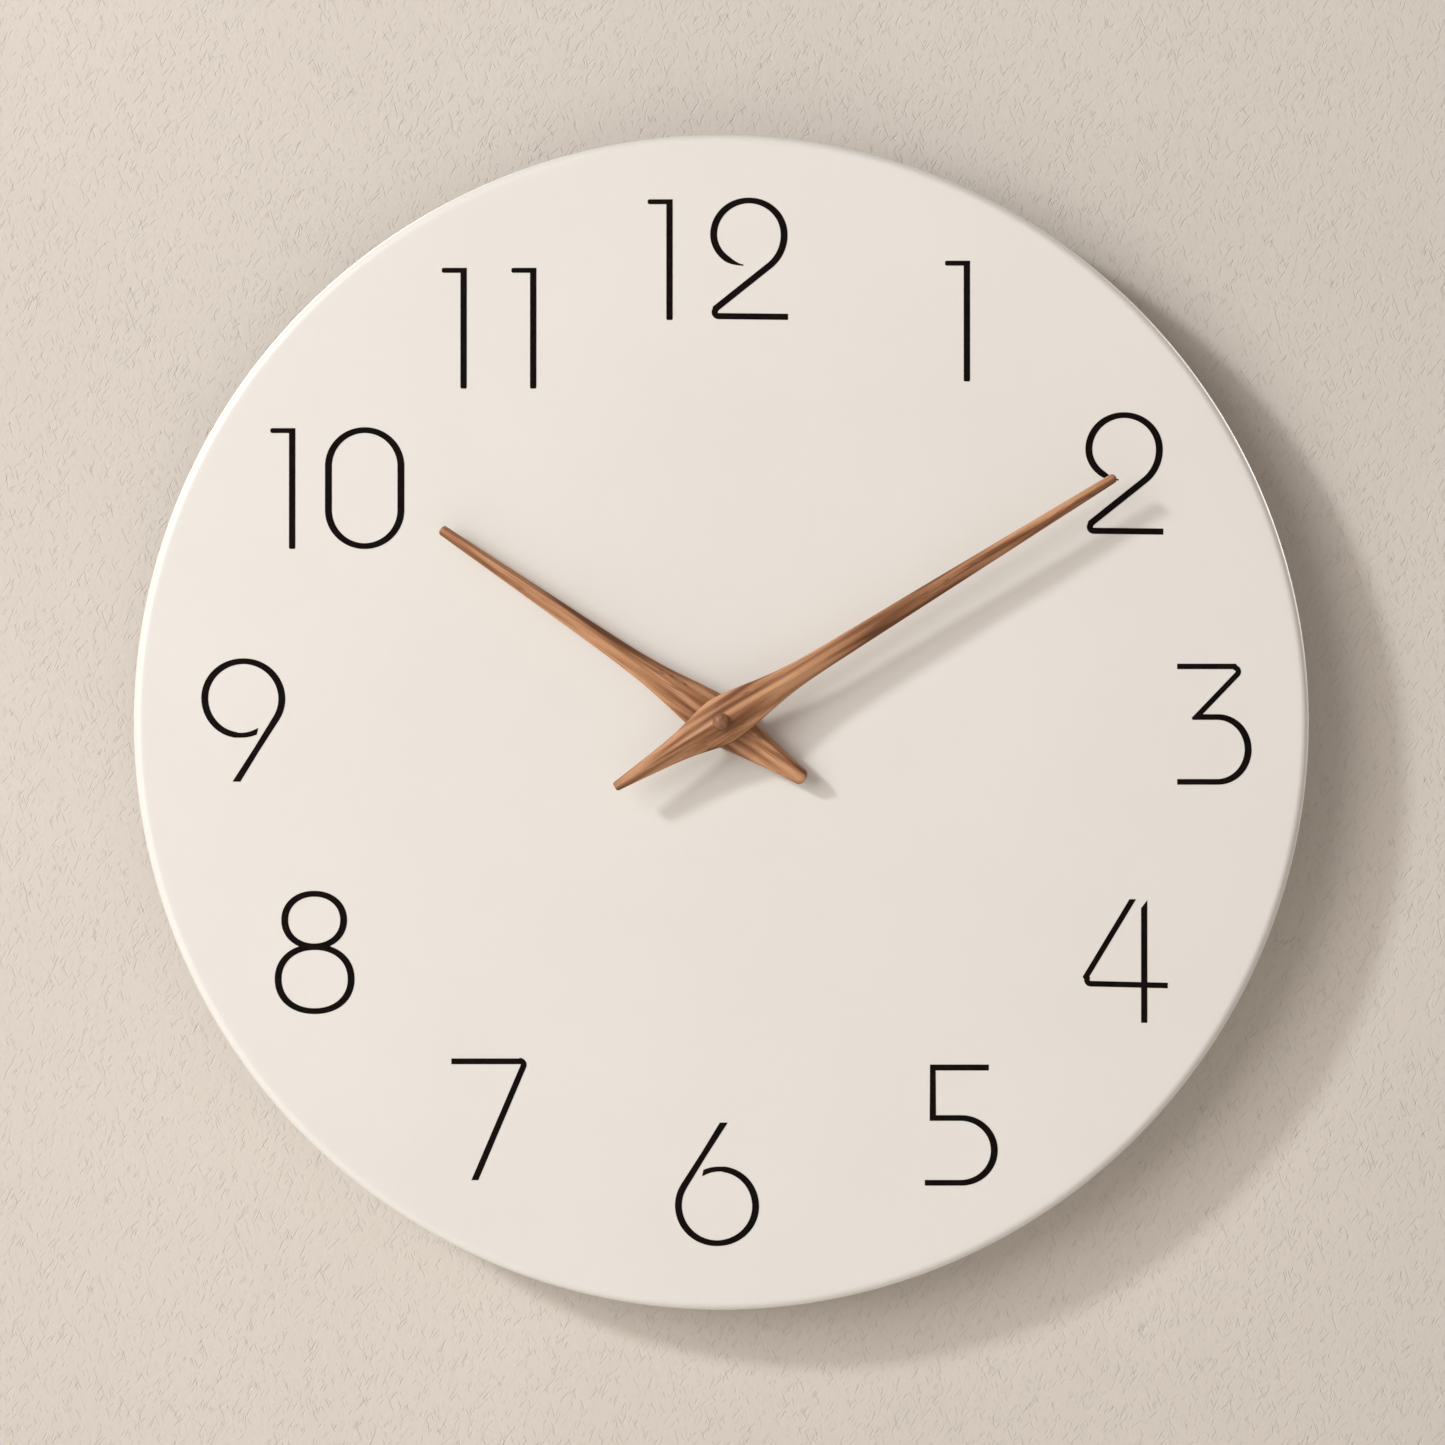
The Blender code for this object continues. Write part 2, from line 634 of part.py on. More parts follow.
def quartz_crystal(look):
    """A cylindrical crystal can that lies on the board."""
    low, high = CRYSTAL_Z
    radius, ease = CRYSTAL_RADIUS, 0.25
    profile = [
        (0, low),
        (radius - ease, low),
        (radius, low + ease),
        (radius, high - ease),
        (radius - ease, high),
        (0, high),
    ]
    centre = (0.0, BOARD_DEPTH[1] + radius + 0.25)
    can = turned("quartz_crystal", profile, axis="Z", centre=centre, segments=20)
    can.location.x = CRYSTAL_X * MM
    return part(can, look)


def block_x(name, x, y, z):
    return prism(name, [(y[0], z[0]), (y[1], z[0]), (y[1], z[1]), (y[0], z[1])], x, axis="X")


def about(middle, half):
    return (middle - half, middle + half)


def coil_core(look):
    return part(block_x("coil_core", STATOR_X, CORE_DEPTH, CORE_Z), look)


def coil_bobbin(look):
    y = sum(CORE_DEPTH) / 2
    z = sum(CORE_Z) / 2
    deep, high = BOBBIN_HALF
    bobbin = block_x("coil_bobbin", COIL_X, about(y, deep), about(z, high))
    left, right = COIL_X
    for name, x in (("left", (left, left + BOBBIN_FLANGE)), ("right", (right - BOBBIN_FLANGE, right))):
        join(bobbin, block_x(f"{name}_flange", x, about(y, deep + 1.7), about(z, high + 1.0)))
    half_core = ((CORE_DEPTH[1] - CORE_DEPTH[0]) / 2 + PLAY, (CORE_Z[1] - CORE_Z[0]) / 2 + PLAY)
    way = block_x("core_way", past(COIL_X), about(y, half_core[0]), about(z, half_core[1]))
    return part(cut(bobbin, way), look)


def coil_winding(look):
    y = sum(CORE_DEPTH) / 2
    z = sum(CORE_Z) / 2
    deep, high = BOBBIN_HALF
    x = past(COIL_X, -BOBBIN_FLANGE - PLAY)
    outline = rounded(about(y, deep + 1.4), about(z, high + 0.8), 0.9, 3)
    winding = prism("coil_winding", outline, x, axis="X")
    way = block_x("bobbin_way", past(COIL_X), about(y, deep + PLAY), about(z, high + PLAY))
    return part(cut(winding, way), look)


def stator_plate(look):
    """A flat U between the core's ends, with the round hole for the magnet."""
    plate = box("stator_plate", STATOR_X, STATOR_DEPTH, STATOR_Z)
    leg_x = (STATOR_X[0] + STATOR_LEG, STATOR_X[1] - STATOR_LEG)
    through = past(STATOR_DEPTH)
    cut(plate, box("stator_gap", leg_x, through, (STATOR_BAR_TOP, STATOR_Z[1] + 1)))
    join(plate, rod("stator_eye", STATOR_EYE, STATOR_DEPTH, ROTOR_AT, segments=28))
    cut(plate, rod("magnet_hole", MAGNET_RADIUS + 0.5, through, ROTOR_AT, segments=24))
    for i, at in enumerate(STATOR_PINS):
        cut(plate, rod(f"stator_hole_{i}", STATOR_PIN_RADIUS + PLAY, through, at))
    return part(plate, look)


def battery_cell(look):
    left, right = CELL_X
    ease = 0.6
    profile = [
        (0, left),
        (CELL_RADIUS - ease, left),
        (CELL_RADIUS, left + ease),
        (CELL_RADIUS, right - ease),
        (CELL_RADIUS - ease, right),
        (CELL_NUB_RADIUS, right),
        (CELL_NUB_RADIUS, right + CELL_NUB_LENGTH),
        (0, right + CELL_NUB_LENGTH),
    ]
    cell = turned("battery_cell", profile, axis="X", centre=(CELL_AXIS_Y, CELL_AXIS_Z))
    return part(cell, look)


def battery_spring_contact(look):
    """A plate on the bay's end wall with a conical spring that presses on the cell."""
    wire = 0.35
    wide, narrow = 4.6, 2.6
    turns = 2
    steps = 24
    start = -CONTACT_X + CONTACT_THICKNESS - 0.1
    end = CELL_X[0] - PLAY - wire
    plate_x = (-CONTACT_X, -CONTACT_X + CONTACT_THICKNESS)
    y, z = (about(middle, CONTACT_HALF) for middle in (CELL_AXIS_Y, CELL_AXIS_Z))
    plate = block_x("battery_spring_contact", plate_x, y, z)
    route = []
    for i in range(steps + 1):
        share = i / steps
        radius = wide + (narrow - wide) * share
        angle = 2 * pi * turns * share
        route.append(
            (
                start + (end - start) * share,
                CELL_AXIS_Y + radius * cos(angle),
                CELL_AXIS_Z + radius * sin(angle),
            )
        )
    return part(join(plate, tube("contact_spring", route, wire, 6)), look)


def battery_plate_contact(look):
    """The flat leaf on the other end wall, for the cell's nub."""
    plate_x = (CONTACT_X - CONTACT_THICKNESS, CONTACT_X)
    y, z = (about(middle, CONTACT_HALF) for middle in (CELL_AXIS_Y, CELL_AXIS_Z))
    return part(block_x("battery_plate_contact", plate_x, y, z), look)


# --- Wheels ------------------------------------------------------------------------------------


def arboured(name, at, depth, *gears):
    """Gears joined to one round arbor."""
    arbor = rod(name, ARBOR, depth, at, segments=16)
    return join(arbor, *gears)


def rotor(look, axis):
    magnet = rod("magnet", MAGNET_RADIUS, MAGNET_DEPTH, ROTOR_AT, segments=24)
    pinion = gear(
        "rotor_pinion", ROTOR_TEETH, TRAIN_MODULE, ROTOR_PHASE, ROTOR_PINION_DEPTH, ROTOR_AT
    )
    depth = (MOTOR_ARBOR_FRONT, ARBOR_REAR)
    return part(arboured("rotor", ROTOR_AT, depth, pinion, magnet), look, axis)


def intermediate_wheel(look, axis):
    at = INTERMEDIATE_AT
    wheel = gear(
        "intermediate_rim",
        INTERMEDIATE_TEETH,
        TRAIN_MODULE,
        0.0,
        INTERMEDIATE_WHEEL_DEPTH,
        at,
    )
    pinion = gear(
        "intermediate_pinion",
        PINION_TEETH,
        TRAIN_MODULE,
        INTERMEDIATE_PINION_PHASE,
        INTERMEDIATE_PINION_DEPTH,
        at,
    )
    made = arboured("intermediate_wheel", at, (MOTOR_ARBOR_FRONT, ARBOR_REAR), pinion, wheel)
    return part(made, look, axis)


def second_wheel(look, axis):
    wheel = gear("second_rim", SECOND_TEETH, TRAIN_MODULE, 0.0, SECOND_WHEEL_DEPTH, HUB)
    pinion = gear(
        "second_pinion", PINION_TEETH, THIRD_MODULE, 0.0, SECOND_PINION_DEPTH, HUB
    )
    depth = (SECOND_ARBOR_FRONT, ARBOR_REAR)
    return part(arboured("second_wheel", HUB, depth, pinion, wheel), look, axis)


def third_wheel(look, axis):
    wheel = gear(
        "third_rim", THIRD_TEETH, THIRD_MODULE, THIRD_PHASE, THIRD_WHEEL_DEPTH, THIRD_AT
    )
    pinion = gear(
        "third_pinion",
        PINION_TEETH,
        TRAIN_MODULE,
        THIRD_PINION_PHASE,
        THIRD_PINION_DEPTH,
        THIRD_AT,
    )
    made = arboured("third_wheel", THIRD_AT, (THIRD_ARBOR_FRONT, ARBOR_REAR), pinion, wheel)
    return part(made, look, axis)


def centre_wheel(look, axis):
    wheel = gear("centre_wheel", CENTRE_TEETH, TRAIN_MODULE, 0.0, CENTRE_WHEEL_DEPTH, HUB)
    bore = rod("centre_bore", JOURNAL_RADIUS + PLAY, past(CENTRE_WHEEL_DEPTH), segments=24)
    return part(cut(wheel, bore), look, axis)


def minute_arbor(look, axis):
    shaft = rod("minute_arbor", MINUTE_SHAFT_RADIUS, MINUTE_SHAFT_DEPTH)
    pinion = gear("cannon_pinion", CANNON_TEETH, MOTION_MODULE, 0.0, CANNON_DEPTH, HUB)
    journal = rod("minute_journal", JOURNAL_RADIUS, (MINUTE_SHAFT_DEPTH[1] - BITE, JOURNAL_END))
    return part(join(shaft, pinion, journal), look, axis)


def minute_wheel(look, axis):
    at = MINUTE_WHEEL_AT
    wheel = gear(
        "minute_wheel",
        MINUTE_WHEEL_TEETH,
        MOTION_MODULE,
        MINUTE_WHEEL_PHASE,
        MINUTE_WHEEL_DEPTH,
        at,
    )
    pinion = gear(
        "minute_pinion",
        MINUTE_PINION_TEETH,
        HOUR_MODULE,
        0.0,
        MINUTE_PINION_DEPTH,
        at,
    )
    join(wheel, pinion)
    depth = past((MINUTE_PINION_DEPTH[0], MINUTE_WHEEL_DEPTH[1]))
    bore = rod("minute_bore", MINUTE_POST_RADIUS + PIVOT_PLAY, depth, at, segments=20)
    return part(cut(wheel, bore), look, axis)


def hour_wheel(look, axis):
    """The hour wheel and the pipe that carries the hour hand."""
    wheel = gear("hour_wheel", HOUR_TEETH, HOUR_MODULE, HOUR_PHASE, HOUR_WHEEL_DEPTH, HUB)
    join(wheel, rod("hour_pipe", HOUR_PIPE_RADIUS, HOUR_PIPE_DEPTH, segments=24))
    depth = past((HOUR_PIPE_DEPTH[0], HOUR_WHEEL_DEPTH[1]))
    return part(cut(wheel, rod("hour_bore", HOUR_PIPE_BORE, depth, segments=24)), look, axis)


def setting_knob(look, axis):
    """A knob with a notched edge, its shaft and the pinion that turns the minute wheel."""
    module = 2 * KNOB_RADIUS / (KNOB_NOTCHES + 2)
    grip = dict(addendum=0.9, dedendum=0.3, root_half=0.3, tip_half=0.16)
    outline = gear_outline(KNOB_NOTCHES, module, 0.0, **grip)
    knob = prism("setting_knob", outline, KNOB_DEPTH, KNOB_AT)
    depth = (KNOB_SHAFT_FRONT, KNOB_DEPTH[0] + BITE)
    shaft = rod("knob_shaft", KNOB_SHAFT_RADIUS, depth, KNOB_AT, segments=20)
    pinion = gear(
        "knob_pinion", KNOB_TEETH, MOTION_MODULE, KNOB_PHASE, KNOB_PINION_DEPTH, KNOB_AT
    )
    return part(join(knob, shaft, pinion), look, axis)


# --- Hands -------------------------------------------------------------------------------------


def tapered(s, reach, tip, flare, hub, spread):
    """A hand's width at s along it: tip at the end, widening evenly, with a round swelling at the hub."""
    return tip + flare * (1 - s / reach) + hub * exp(-((s / spread) ** 2))


def minute_width(s):
    if s < 0:
        return tapered(s, MINUTE_REACH[0], 2.3, 7.0, 2.9, 8.7)
    return tapered(s, MINUTE_REACH[1], 2.4, 4.2, 5.6, 14.5)


def hour_width(s):
    if s < 0:
        return tapered(s, HOUR_REACH[0], 3.9, 6.5, 1.6, 12.0)
    return tapered(s, HOUR_REACH[1], 2.6, 4.2, 5.2, 17.0)


def hand(name, reach, depth, width, look, axis, angle):
    """A bar with a flat back, low sides and two facets that meet in a ridge. It points up at angle 0."""
    front, back = depth
    shoulder = 0.3
    ridge = back - front - HAND_EDGE - shoulder
    blunt = 1.0
    count = 26
    inner = [reach[0] + (reach[1] - reach[0]) * i / count for i in range(1, count)]
    stations = [(reach[0], 0.7), (reach[0] + blunt, 1.0)]
    stations += [(s, 1.0) for s in inner if reach[0] + blunt < s < reach[1] - blunt]
    stations += [(0.0, 1.0), (reach[1] - blunt, 1.0), (reach[1], 0.6)]
    edge = back - HAND_EDGE
    points = []
    for s, share in sorted(stations):
        half = width(s) * share / 2
        crest = edge - shoulder - ridge * (width(s) / width(0)) ** 0.6 * share
        outline = ((-half, back), (-half, edge), (0, crest), (half, edge), (half, back))
        points += [(x, y, s) for x, y in outline]
    sides = 5
    faces = [list(range(sides)), list(range(len(points) - sides, len(points)))]
    for i in range(len(stations) - 1):
        for k in range(sides):
            a, b = i * sides + k, i * sides + (k + 1) % sides
            faces.append([a, b, b + sides, a + sides])
    made = solid(name, points, faces)
    made.rotation_euler.y = angle
    return part(made, look, axis)


def minute_hand(look, axis):
    """The long hand, hollowed behind for its bushing, with a way for the shaft and a seat for the cap."""
    front, back = MINUTE_HAND_DEPTH
    made = hand(
        "minute_hand", MINUTE_REACH, MINUTE_HAND_DEPTH, minute_width, look, axis, MINUTE_ANGLE
    )
    bushing_depth = (MINUTE_BUSHING_DEPTH[0] - PLAY, back + 1)
    return cut(
        made,
        rod("bushing_seat", MINUTE_BUSHING[1] + PLAY, bushing_depth),
        rod("minute_shaft_way", MINUTE_SHAFT_RADIUS + PLAY, (front - 1, back + 1)),
        rod("cap_seat", CAP_RADIUS + PLAY, (front - 1, CAP_DEPTH[1] + PLAY)),
    )


def hour_hand(look, axis):
    made = hand("hour_hand", HOUR_REACH, HOUR_HAND_DEPTH, hour_width, look, axis, HOUR_ANGLE)
    return cut(made, rod("hour_bushing_way", HOUR_BUSHING[1] + PLAY, past(HOUR_HAND_DEPTH)))


def hub_cap(look, axis):
    """A turned wooden dome, hollowed to go over the end of the minute arbor."""
    front, rear = CAP_DEPTH
    inside = MINUTE_SHAFT_RADIUS + 0.2
    profile = [(0, front)]
    for i in range(1, 5):
        angle = pi / 2 * i / 4
        profile.append((CAP_RADIUS * sin(angle), front + CAP_DOME * (1 - cos(angle))))
    profile += [(CAP_RADIUS, rear), (inside, rear), (inside, CAP_ROOF), (0, CAP_ROOF)]
    return part(turned("hub_cap", profile), look, axis)


def main():
    for old in list(bpy.data.objects):
        bpy.data.objects.remove(old, do_unlink=True)

    lacquer = material("white lacquer", (0.84, 0.81, 0.77), 0.4)
    wood = material("carved wood", (0.47, 0.25, 0.13), 0.55)
    steel = material("zinc-plated steel", (0.62, 0.62, 0.6), 0.35, 1.0)
    iron = material("soft iron", (0.45, 0.45, 0.46), 0.45, 1.0)
    brass = material("brass", (0.75, 0.56, 0.27), 0.3, 1.0)
    rubber = material("rubber", (0.02, 0.02, 0.02), 0.85)
    case_plastic = material("black plastic", (0.025, 0.025, 0.027), 0.5)
    plate_plastic = material("grey plastic", (0.3, 0.31, 0.32), 0.5)
    gear_plastic = material("white acetal", (0.85, 0.85, 0.82), 0.4)
    knob_plastic = material("knob plastic", (0.05, 0.05, 0.055), 0.45)
    board = material("circuit board", (0.36, 0.2, 0.07), 0.5)
    resin = material("black resin", (0.01, 0.01, 0.012), 0.25)
    copper = material("copper wire", (0.72, 0.32, 0.16), 0.3, 1.0)
    magnet = material("ferrite", (0.1, 0.1, 0.11), 0.5)
    sleeve = material("cell sleeve", (0.05, 0.22, 0.12), 0.35)

    dial_disc(lacquer)
    hanger_plate(steel)
    rubber_washer(rubber)
    front_washer(brass)
    mounting_nut(brass)
    threaded_bush(brass)
    front_shell(case_plastic)
    middle_plate(plate_plastic)
    rear_cover(case_plastic)
    circuit_board(board)
    timer_chip(resin)
    quartz_crystal(steel)
    coil_core(iron)
    coil_bobbin(plate_plastic)
    coil_winding(copper)
    stator_plate(iron)
    battery_spring_contact(steel)
    battery_plate_contact(steel)
    battery_cell(sleeve)

    minute_axis = axis_empty("minute_axis", HUB)
    minute_arbor(gear_plastic, minute_axis)
    minute_hand(wood, minute_axis)
    bushing = ring("minute_hand_bushing", *MINUTE_BUSHING, MINUTE_BUSHING_DEPTH)
    part(bushing, brass, minute_axis)
    hub_cap(wood, minute_axis)

    hour_axis = axis_empty("hour_axis", HUB)
    hour_wheel(gear_plastic, hour_axis)
    hour_hand(wood, hour_axis)
    bushing = ring("hour_hand_bushing", *HOUR_BUSHING, HOUR_BUSHING_DEPTH)
    part(bushing, brass, hour_axis)

    minute_wheel(gear_plastic, axis_empty("minute_wheel_axis", MINUTE_WHEEL_AT))
    setting_knob(knob_plastic, axis_empty("knob_axis", KNOB_AT))
    centre_wheel(gear_plastic, axis_empty("centre_axis", HUB))
    third_wheel(gear_plastic, axis_empty("third_axis", THIRD_AT))
    second_wheel(gear_plastic, axis_empty("second_axis", HUB))
    intermediate_wheel(gear_plastic, axis_empty("intermediate_axis", INTERMEDIATE_AT))
    rotor(magnet, axis_empty("rotor_axis", ROTOR_AT))


main()
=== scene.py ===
"""The looks of a round, frameless wall clock with carved wooden hands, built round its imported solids.

Lengths are in millimetres up to the helpers that make meshes, which scale them to metres.
The dial faces -Y, +Z is up and the clock's back rests on the wall at y = 0.
"""

import json
import random
from math import cos, exp, hypot, pi, radians, sin, sqrt, tan

import bmesh
import bpy
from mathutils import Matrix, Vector

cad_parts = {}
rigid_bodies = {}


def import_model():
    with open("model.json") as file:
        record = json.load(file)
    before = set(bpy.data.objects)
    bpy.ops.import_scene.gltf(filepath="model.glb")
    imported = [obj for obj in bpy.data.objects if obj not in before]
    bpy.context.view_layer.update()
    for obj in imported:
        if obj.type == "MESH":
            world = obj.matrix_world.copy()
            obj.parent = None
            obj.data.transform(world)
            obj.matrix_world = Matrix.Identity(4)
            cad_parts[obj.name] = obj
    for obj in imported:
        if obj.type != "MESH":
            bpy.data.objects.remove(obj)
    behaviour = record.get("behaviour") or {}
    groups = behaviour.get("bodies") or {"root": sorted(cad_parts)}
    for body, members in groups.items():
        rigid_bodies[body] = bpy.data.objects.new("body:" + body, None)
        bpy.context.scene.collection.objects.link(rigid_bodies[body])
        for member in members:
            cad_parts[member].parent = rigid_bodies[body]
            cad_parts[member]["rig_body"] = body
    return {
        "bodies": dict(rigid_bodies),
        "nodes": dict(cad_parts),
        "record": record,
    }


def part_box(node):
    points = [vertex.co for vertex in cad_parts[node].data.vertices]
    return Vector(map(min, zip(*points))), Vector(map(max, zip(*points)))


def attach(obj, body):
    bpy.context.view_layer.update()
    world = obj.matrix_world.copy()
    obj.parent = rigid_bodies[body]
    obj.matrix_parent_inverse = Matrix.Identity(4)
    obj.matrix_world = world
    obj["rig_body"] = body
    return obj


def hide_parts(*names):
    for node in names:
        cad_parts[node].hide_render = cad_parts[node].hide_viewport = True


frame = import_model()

for stray in set(bpy.data.objects) - set(frame["nodes"].values()) - set(frame["bodies"].values()):
    bpy.data.objects.remove(stray)
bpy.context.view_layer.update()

MM = 0.001
MERGE = 0.002 * MM  # points nearer than this are one


def span(node, axis):
    """Where a CAD node begins and ends along X, Y or Z."""
    low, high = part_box(node)
    return low["XYZ".index(axis)] / MM, high["XYZ".index(axis)] / MM


def middle(node, axis):
    return sum(span(node, axis)) / 2


def half_size(node, axis):
    return span(node, axis)[1] - middle(node, axis)


# --- Sizes ---

DIAL_RADIUS = span("dial_disc", "X")[1]
DIAL_FRONT, DIAL_BACK = span("dial_disc", "Y")
DIAL_EASE = 2.3  # radius of the rounded front edge
DIAL_BACK_EASE = 0.6
DIAL_HOLE = 4.4
POCKET_SKIN = 4.2  # board left in front of the pocket for the movement
POCKET_CLEARANCE = 2.0
POCKET_ABOVE = 9.0  # room over the case for the jog in the hanger
POCKET_CORNER = 5.0
INK = 0.09  # thickness of the printed numbers

CASE_X = span("front_shell", "X")
CASE_Z = span("front_shell", "Z")
COVER_Z = span("rear_cover", "Z")
COVER_BACK = span("rear_cover", "Y")[1]
KNOB_AT = (middle("setting_knob", "X"), middle("setting_knob", "Z"))
KNOB_RADIUS = half_size("setting_knob", "X")
KNOB_BACK = span("setting_knob", "Y")[1]

MINUTE_ANGLE = radians(58.2)
HOUR_ANGLE = radians(304.5)
MINUTE_REACH = (-31.6, 117.5)
HOUR_REACH = (-26.0, 86.4)
HAND_EDGE = 1.3  # height of a hand's sides, under the facets
HAND_SLOPE = 0.34  # how far the sloped strip above each side reaches in
HAND_STATION = 1.2  # distance between the cross-sections
HAND_CORNER = 0.14  # width of the softened edges
KNIFE_STROKE = 11.0  # average length of a facet
SHAFT_WAY = 1.5  # radius of the hole for the minute arbor, just clear of its shaft

CELL_RADIUS = half_size("battery_cell", "Z")
CELL_X = span("battery_cell", "X")
CELL_AXIS = (middle("battery_cell", "Y"), middle("battery_cell", "Z"))
CELL_NUB = (2.75, 1.1)  # radius and length

REAR_WATTS = 20.0

CAMERA_LENS = 135.0
CAMERA_AZIMUTH = 0.14
CAMERA_ELEVATION = -0.43
CAMERA_DISTANCE = 1381.5
CAMERA_AIM = (0.36, DIAL_FRONT, -0.19)


# --- Materials ---


class Nodes:
    """The node tree of a material or a world, made from plain numbers, colours and outputs."""

    def __init__(self, owner):
        owner.use_nodes = True
        self.tree = owner.node_tree

    def link(self, source, target):
        """Sets a socket to a number or a colour, or links it to another node's output."""
        if isinstance(source, (int, float)):
            target.default_value = source
        elif isinstance(source, tuple):
            target.default_value = (*source, 1.0)
        else:
            self.tree.links.new(source, target)

    def node(self, kind, *inputs, **named_inputs):
        """A new shader node, with its inputs given in order or by name."""
        made = self.tree.nodes.new("ShaderNode" + kind)
        for i, source in enumerate(inputs):
            self.link(source, made.inputs[i])
        self.fill(made, named_inputs)
        return made

    def fill(self, node, named_inputs):
        for name, source in named_inputs.items():
            self.link(source, node.inputs[name.replace("_", " ")])

    def mix_shaders(self, share, first, second, output):
        """Sends a mix of two shaders to the tree's output node."""
        mix = self.node("MixShader", share, first.outputs[0], second.outputs[0])
        self.link(mix.outputs["Shader"], self.tree.nodes[output].inputs["Surface"])


class Finish(Nodes):
    """A Principled material whose textures follow the object's own coordinates."""

    def __init__(self, name, **sockets):
        self.material = bpy.data.materials.new(name)
        super().__init__(self.material)
        self.shader = self.tree.nodes["Principled BSDF"]
        self.fill(self.shader, sockets)
        self.place = self.node("TexCoord").outputs["Object"]

    def scaled(self, size, stretch, turn=(0, 0, 0), shift=0.0):
        """Turned and scaled coordinates, in which a feature of this size and stretch is one unit."""
        mapping = self.node("Mapping", self.place)
        mapping.vector_type = "TEXTURE"
        mapping.inputs["Scale"].default_value = [size * MM * share for share in stretch]
        mapping.inputs["Rotation"].default_value = [radians(angle) for angle in turn]
        mapping.inputs["Location"].default_value = [shift * MM] * 3
        return mapping.outputs["Vector"]

    def noise(self, size, stretch=(1, 1, 1), detail=2.0, wander=0.0, turn=(0, 0, 0), shift=0.0):
        place = self.scaled(size, stretch, turn, shift)
        return self.node("TexNoise", place, Scale=1.0, Detail=detail, Distortion=wander).outputs[0]

    def bands(self, size, stretch, wander):
        """Saw-shaped bands across X, each as wide as size."""
        place = self.scaled(size * pi / 10, stretch)
        texture = self.node("TexWave", place, Scale=1.0, Distortion=wander, Detail=2.0, Detail_Scale=0.6)
        texture.wave_profile = "SAW"
        return texture.outputs["Fac"]

    def ramp(self, source, *stops):
        """stops are (position, grey or colour)."""
        node = self.node("ValToRGB", source)
        elements = node.color_ramp.elements
        while len(elements) < len(stops):
            elements.new(0.5)
        for element, (position, value) in zip(elements, stops):
            colour = value if isinstance(value, tuple) else (value, value, value)
            element.position = position
            element.color = (*colour, 1.0)
        return node.outputs["Color"]

    def mix(self, share, first, second, blend="MIX"):
        node = self.node("Mix", share)
        node.data_type = "RGBA"
        node.blend_type = blend
        colours = [socket for socket in node.inputs if socket.type == "RGBA"]
        self.link(first, colours[0])
        self.link(second, colours[1])
        return node.outputs[2]

    def sum(self, first, second, weight):
        """first + weight * second"""
        node = self.node("Math", second, weight, first)
        node.operation = "MULTIPLY_ADD"
        return node.outputs[0]

    def colour(self, source):
        self.link(source, self.shader.inputs["Base Color"])

    def tint(self, source, low, high, start=0.3, end=0.7):
        """The colour goes from low to high as source goes from start to end."""
        self.colour(self.ramp(source, (start, low), (end, high)))

    def roughness(self, source, low, high):
        self.link(self.ramp(source, (0.3, low), (0.7, high)), self.shader.inputs["Roughness"])

    def bump(self, height, depth):
        """depth is how far the height field's 1 stands over its 0. It adds to an earlier bump."""
        node = self.node("Bump", Strength=1.0, Distance=depth * MM, Height=height)
        normal = self.shader.inputs["Normal"]
        if normal.links:
            self.link(normal.links[0].from_socket, node.inputs["Normal"])
        self.link(node.outputs["Normal"], normal)


def lacquer_finish():
    """Sprayed satin lacquer: even and warm white, with a faint orange peel."""
    made = Finish("satin_lacquer", Coat_Weight=0.12, Coat_Roughness=0.3)
    cloud = made.noise(55, detail=3)
    made.tint(cloud, (0.800, 0.782, 0.748), (0.822, 0.804, 0.772))
    made.roughness(made.noise(4, detail=4), 0.40, 0.48)
    made.bump(made.noise(1.1, detail=1), 0.006)
    return made.material


def primer_finish():
    """The rolled primer on the back of the board: matt and even, with a stipple from the roller."""
    made = Finish("rolled_primer", Specular_IOR_Level=0.25)
    cloud = made.noise(38, detail=3)
    stipple = made.noise(0.9, detail=3)
    made.tint(cloud, (0.640, 0.618, 0.575), (0.685, 0.662, 0.620))
    made.roughness(stipple, 0.72, 0.86)
    made.bump(stipple, 0.035)
    return made.material


def fibreboard_finish():
    """Bare routed fibreboard: brown, felted, with darker fibres."""
    made = Finish("bare_fibreboard", Roughness=0.9)
    felt = made.noise(0.5, (3, 1, 1), detail=4)
    patches = made.noise(9, detail=2)
    body = made.ramp(felt, (0.35, (0.185, 0.105, 0.052)), (0.7, (0.40, 0.262, 0.145)))
    made.colour(made.mix(made.ramp(patches, (0.4, 0.0), (0.8, 0.4)), body, (0.25, 0.155, 0.08)))
    made.bump(felt, 0.08)
    return made.material


def ink_finish():
    """Screen-printed ink: warm black, a little thinner in places."""
    made = Finish("printed_ink", Specular_IOR_Level=0.06)
    cover = made.noise(1.8, detail=3)
    made.tint(cover, (0.0026, 0.0015, 0.0012), (0.0075, 0.0044, 0.0034), 0.35)
    made.roughness(made.noise(0.7, detail=2), 0.5, 0.65)
    made.bump(made.noise(0.25, detail=1), 0.006)
    return made.material


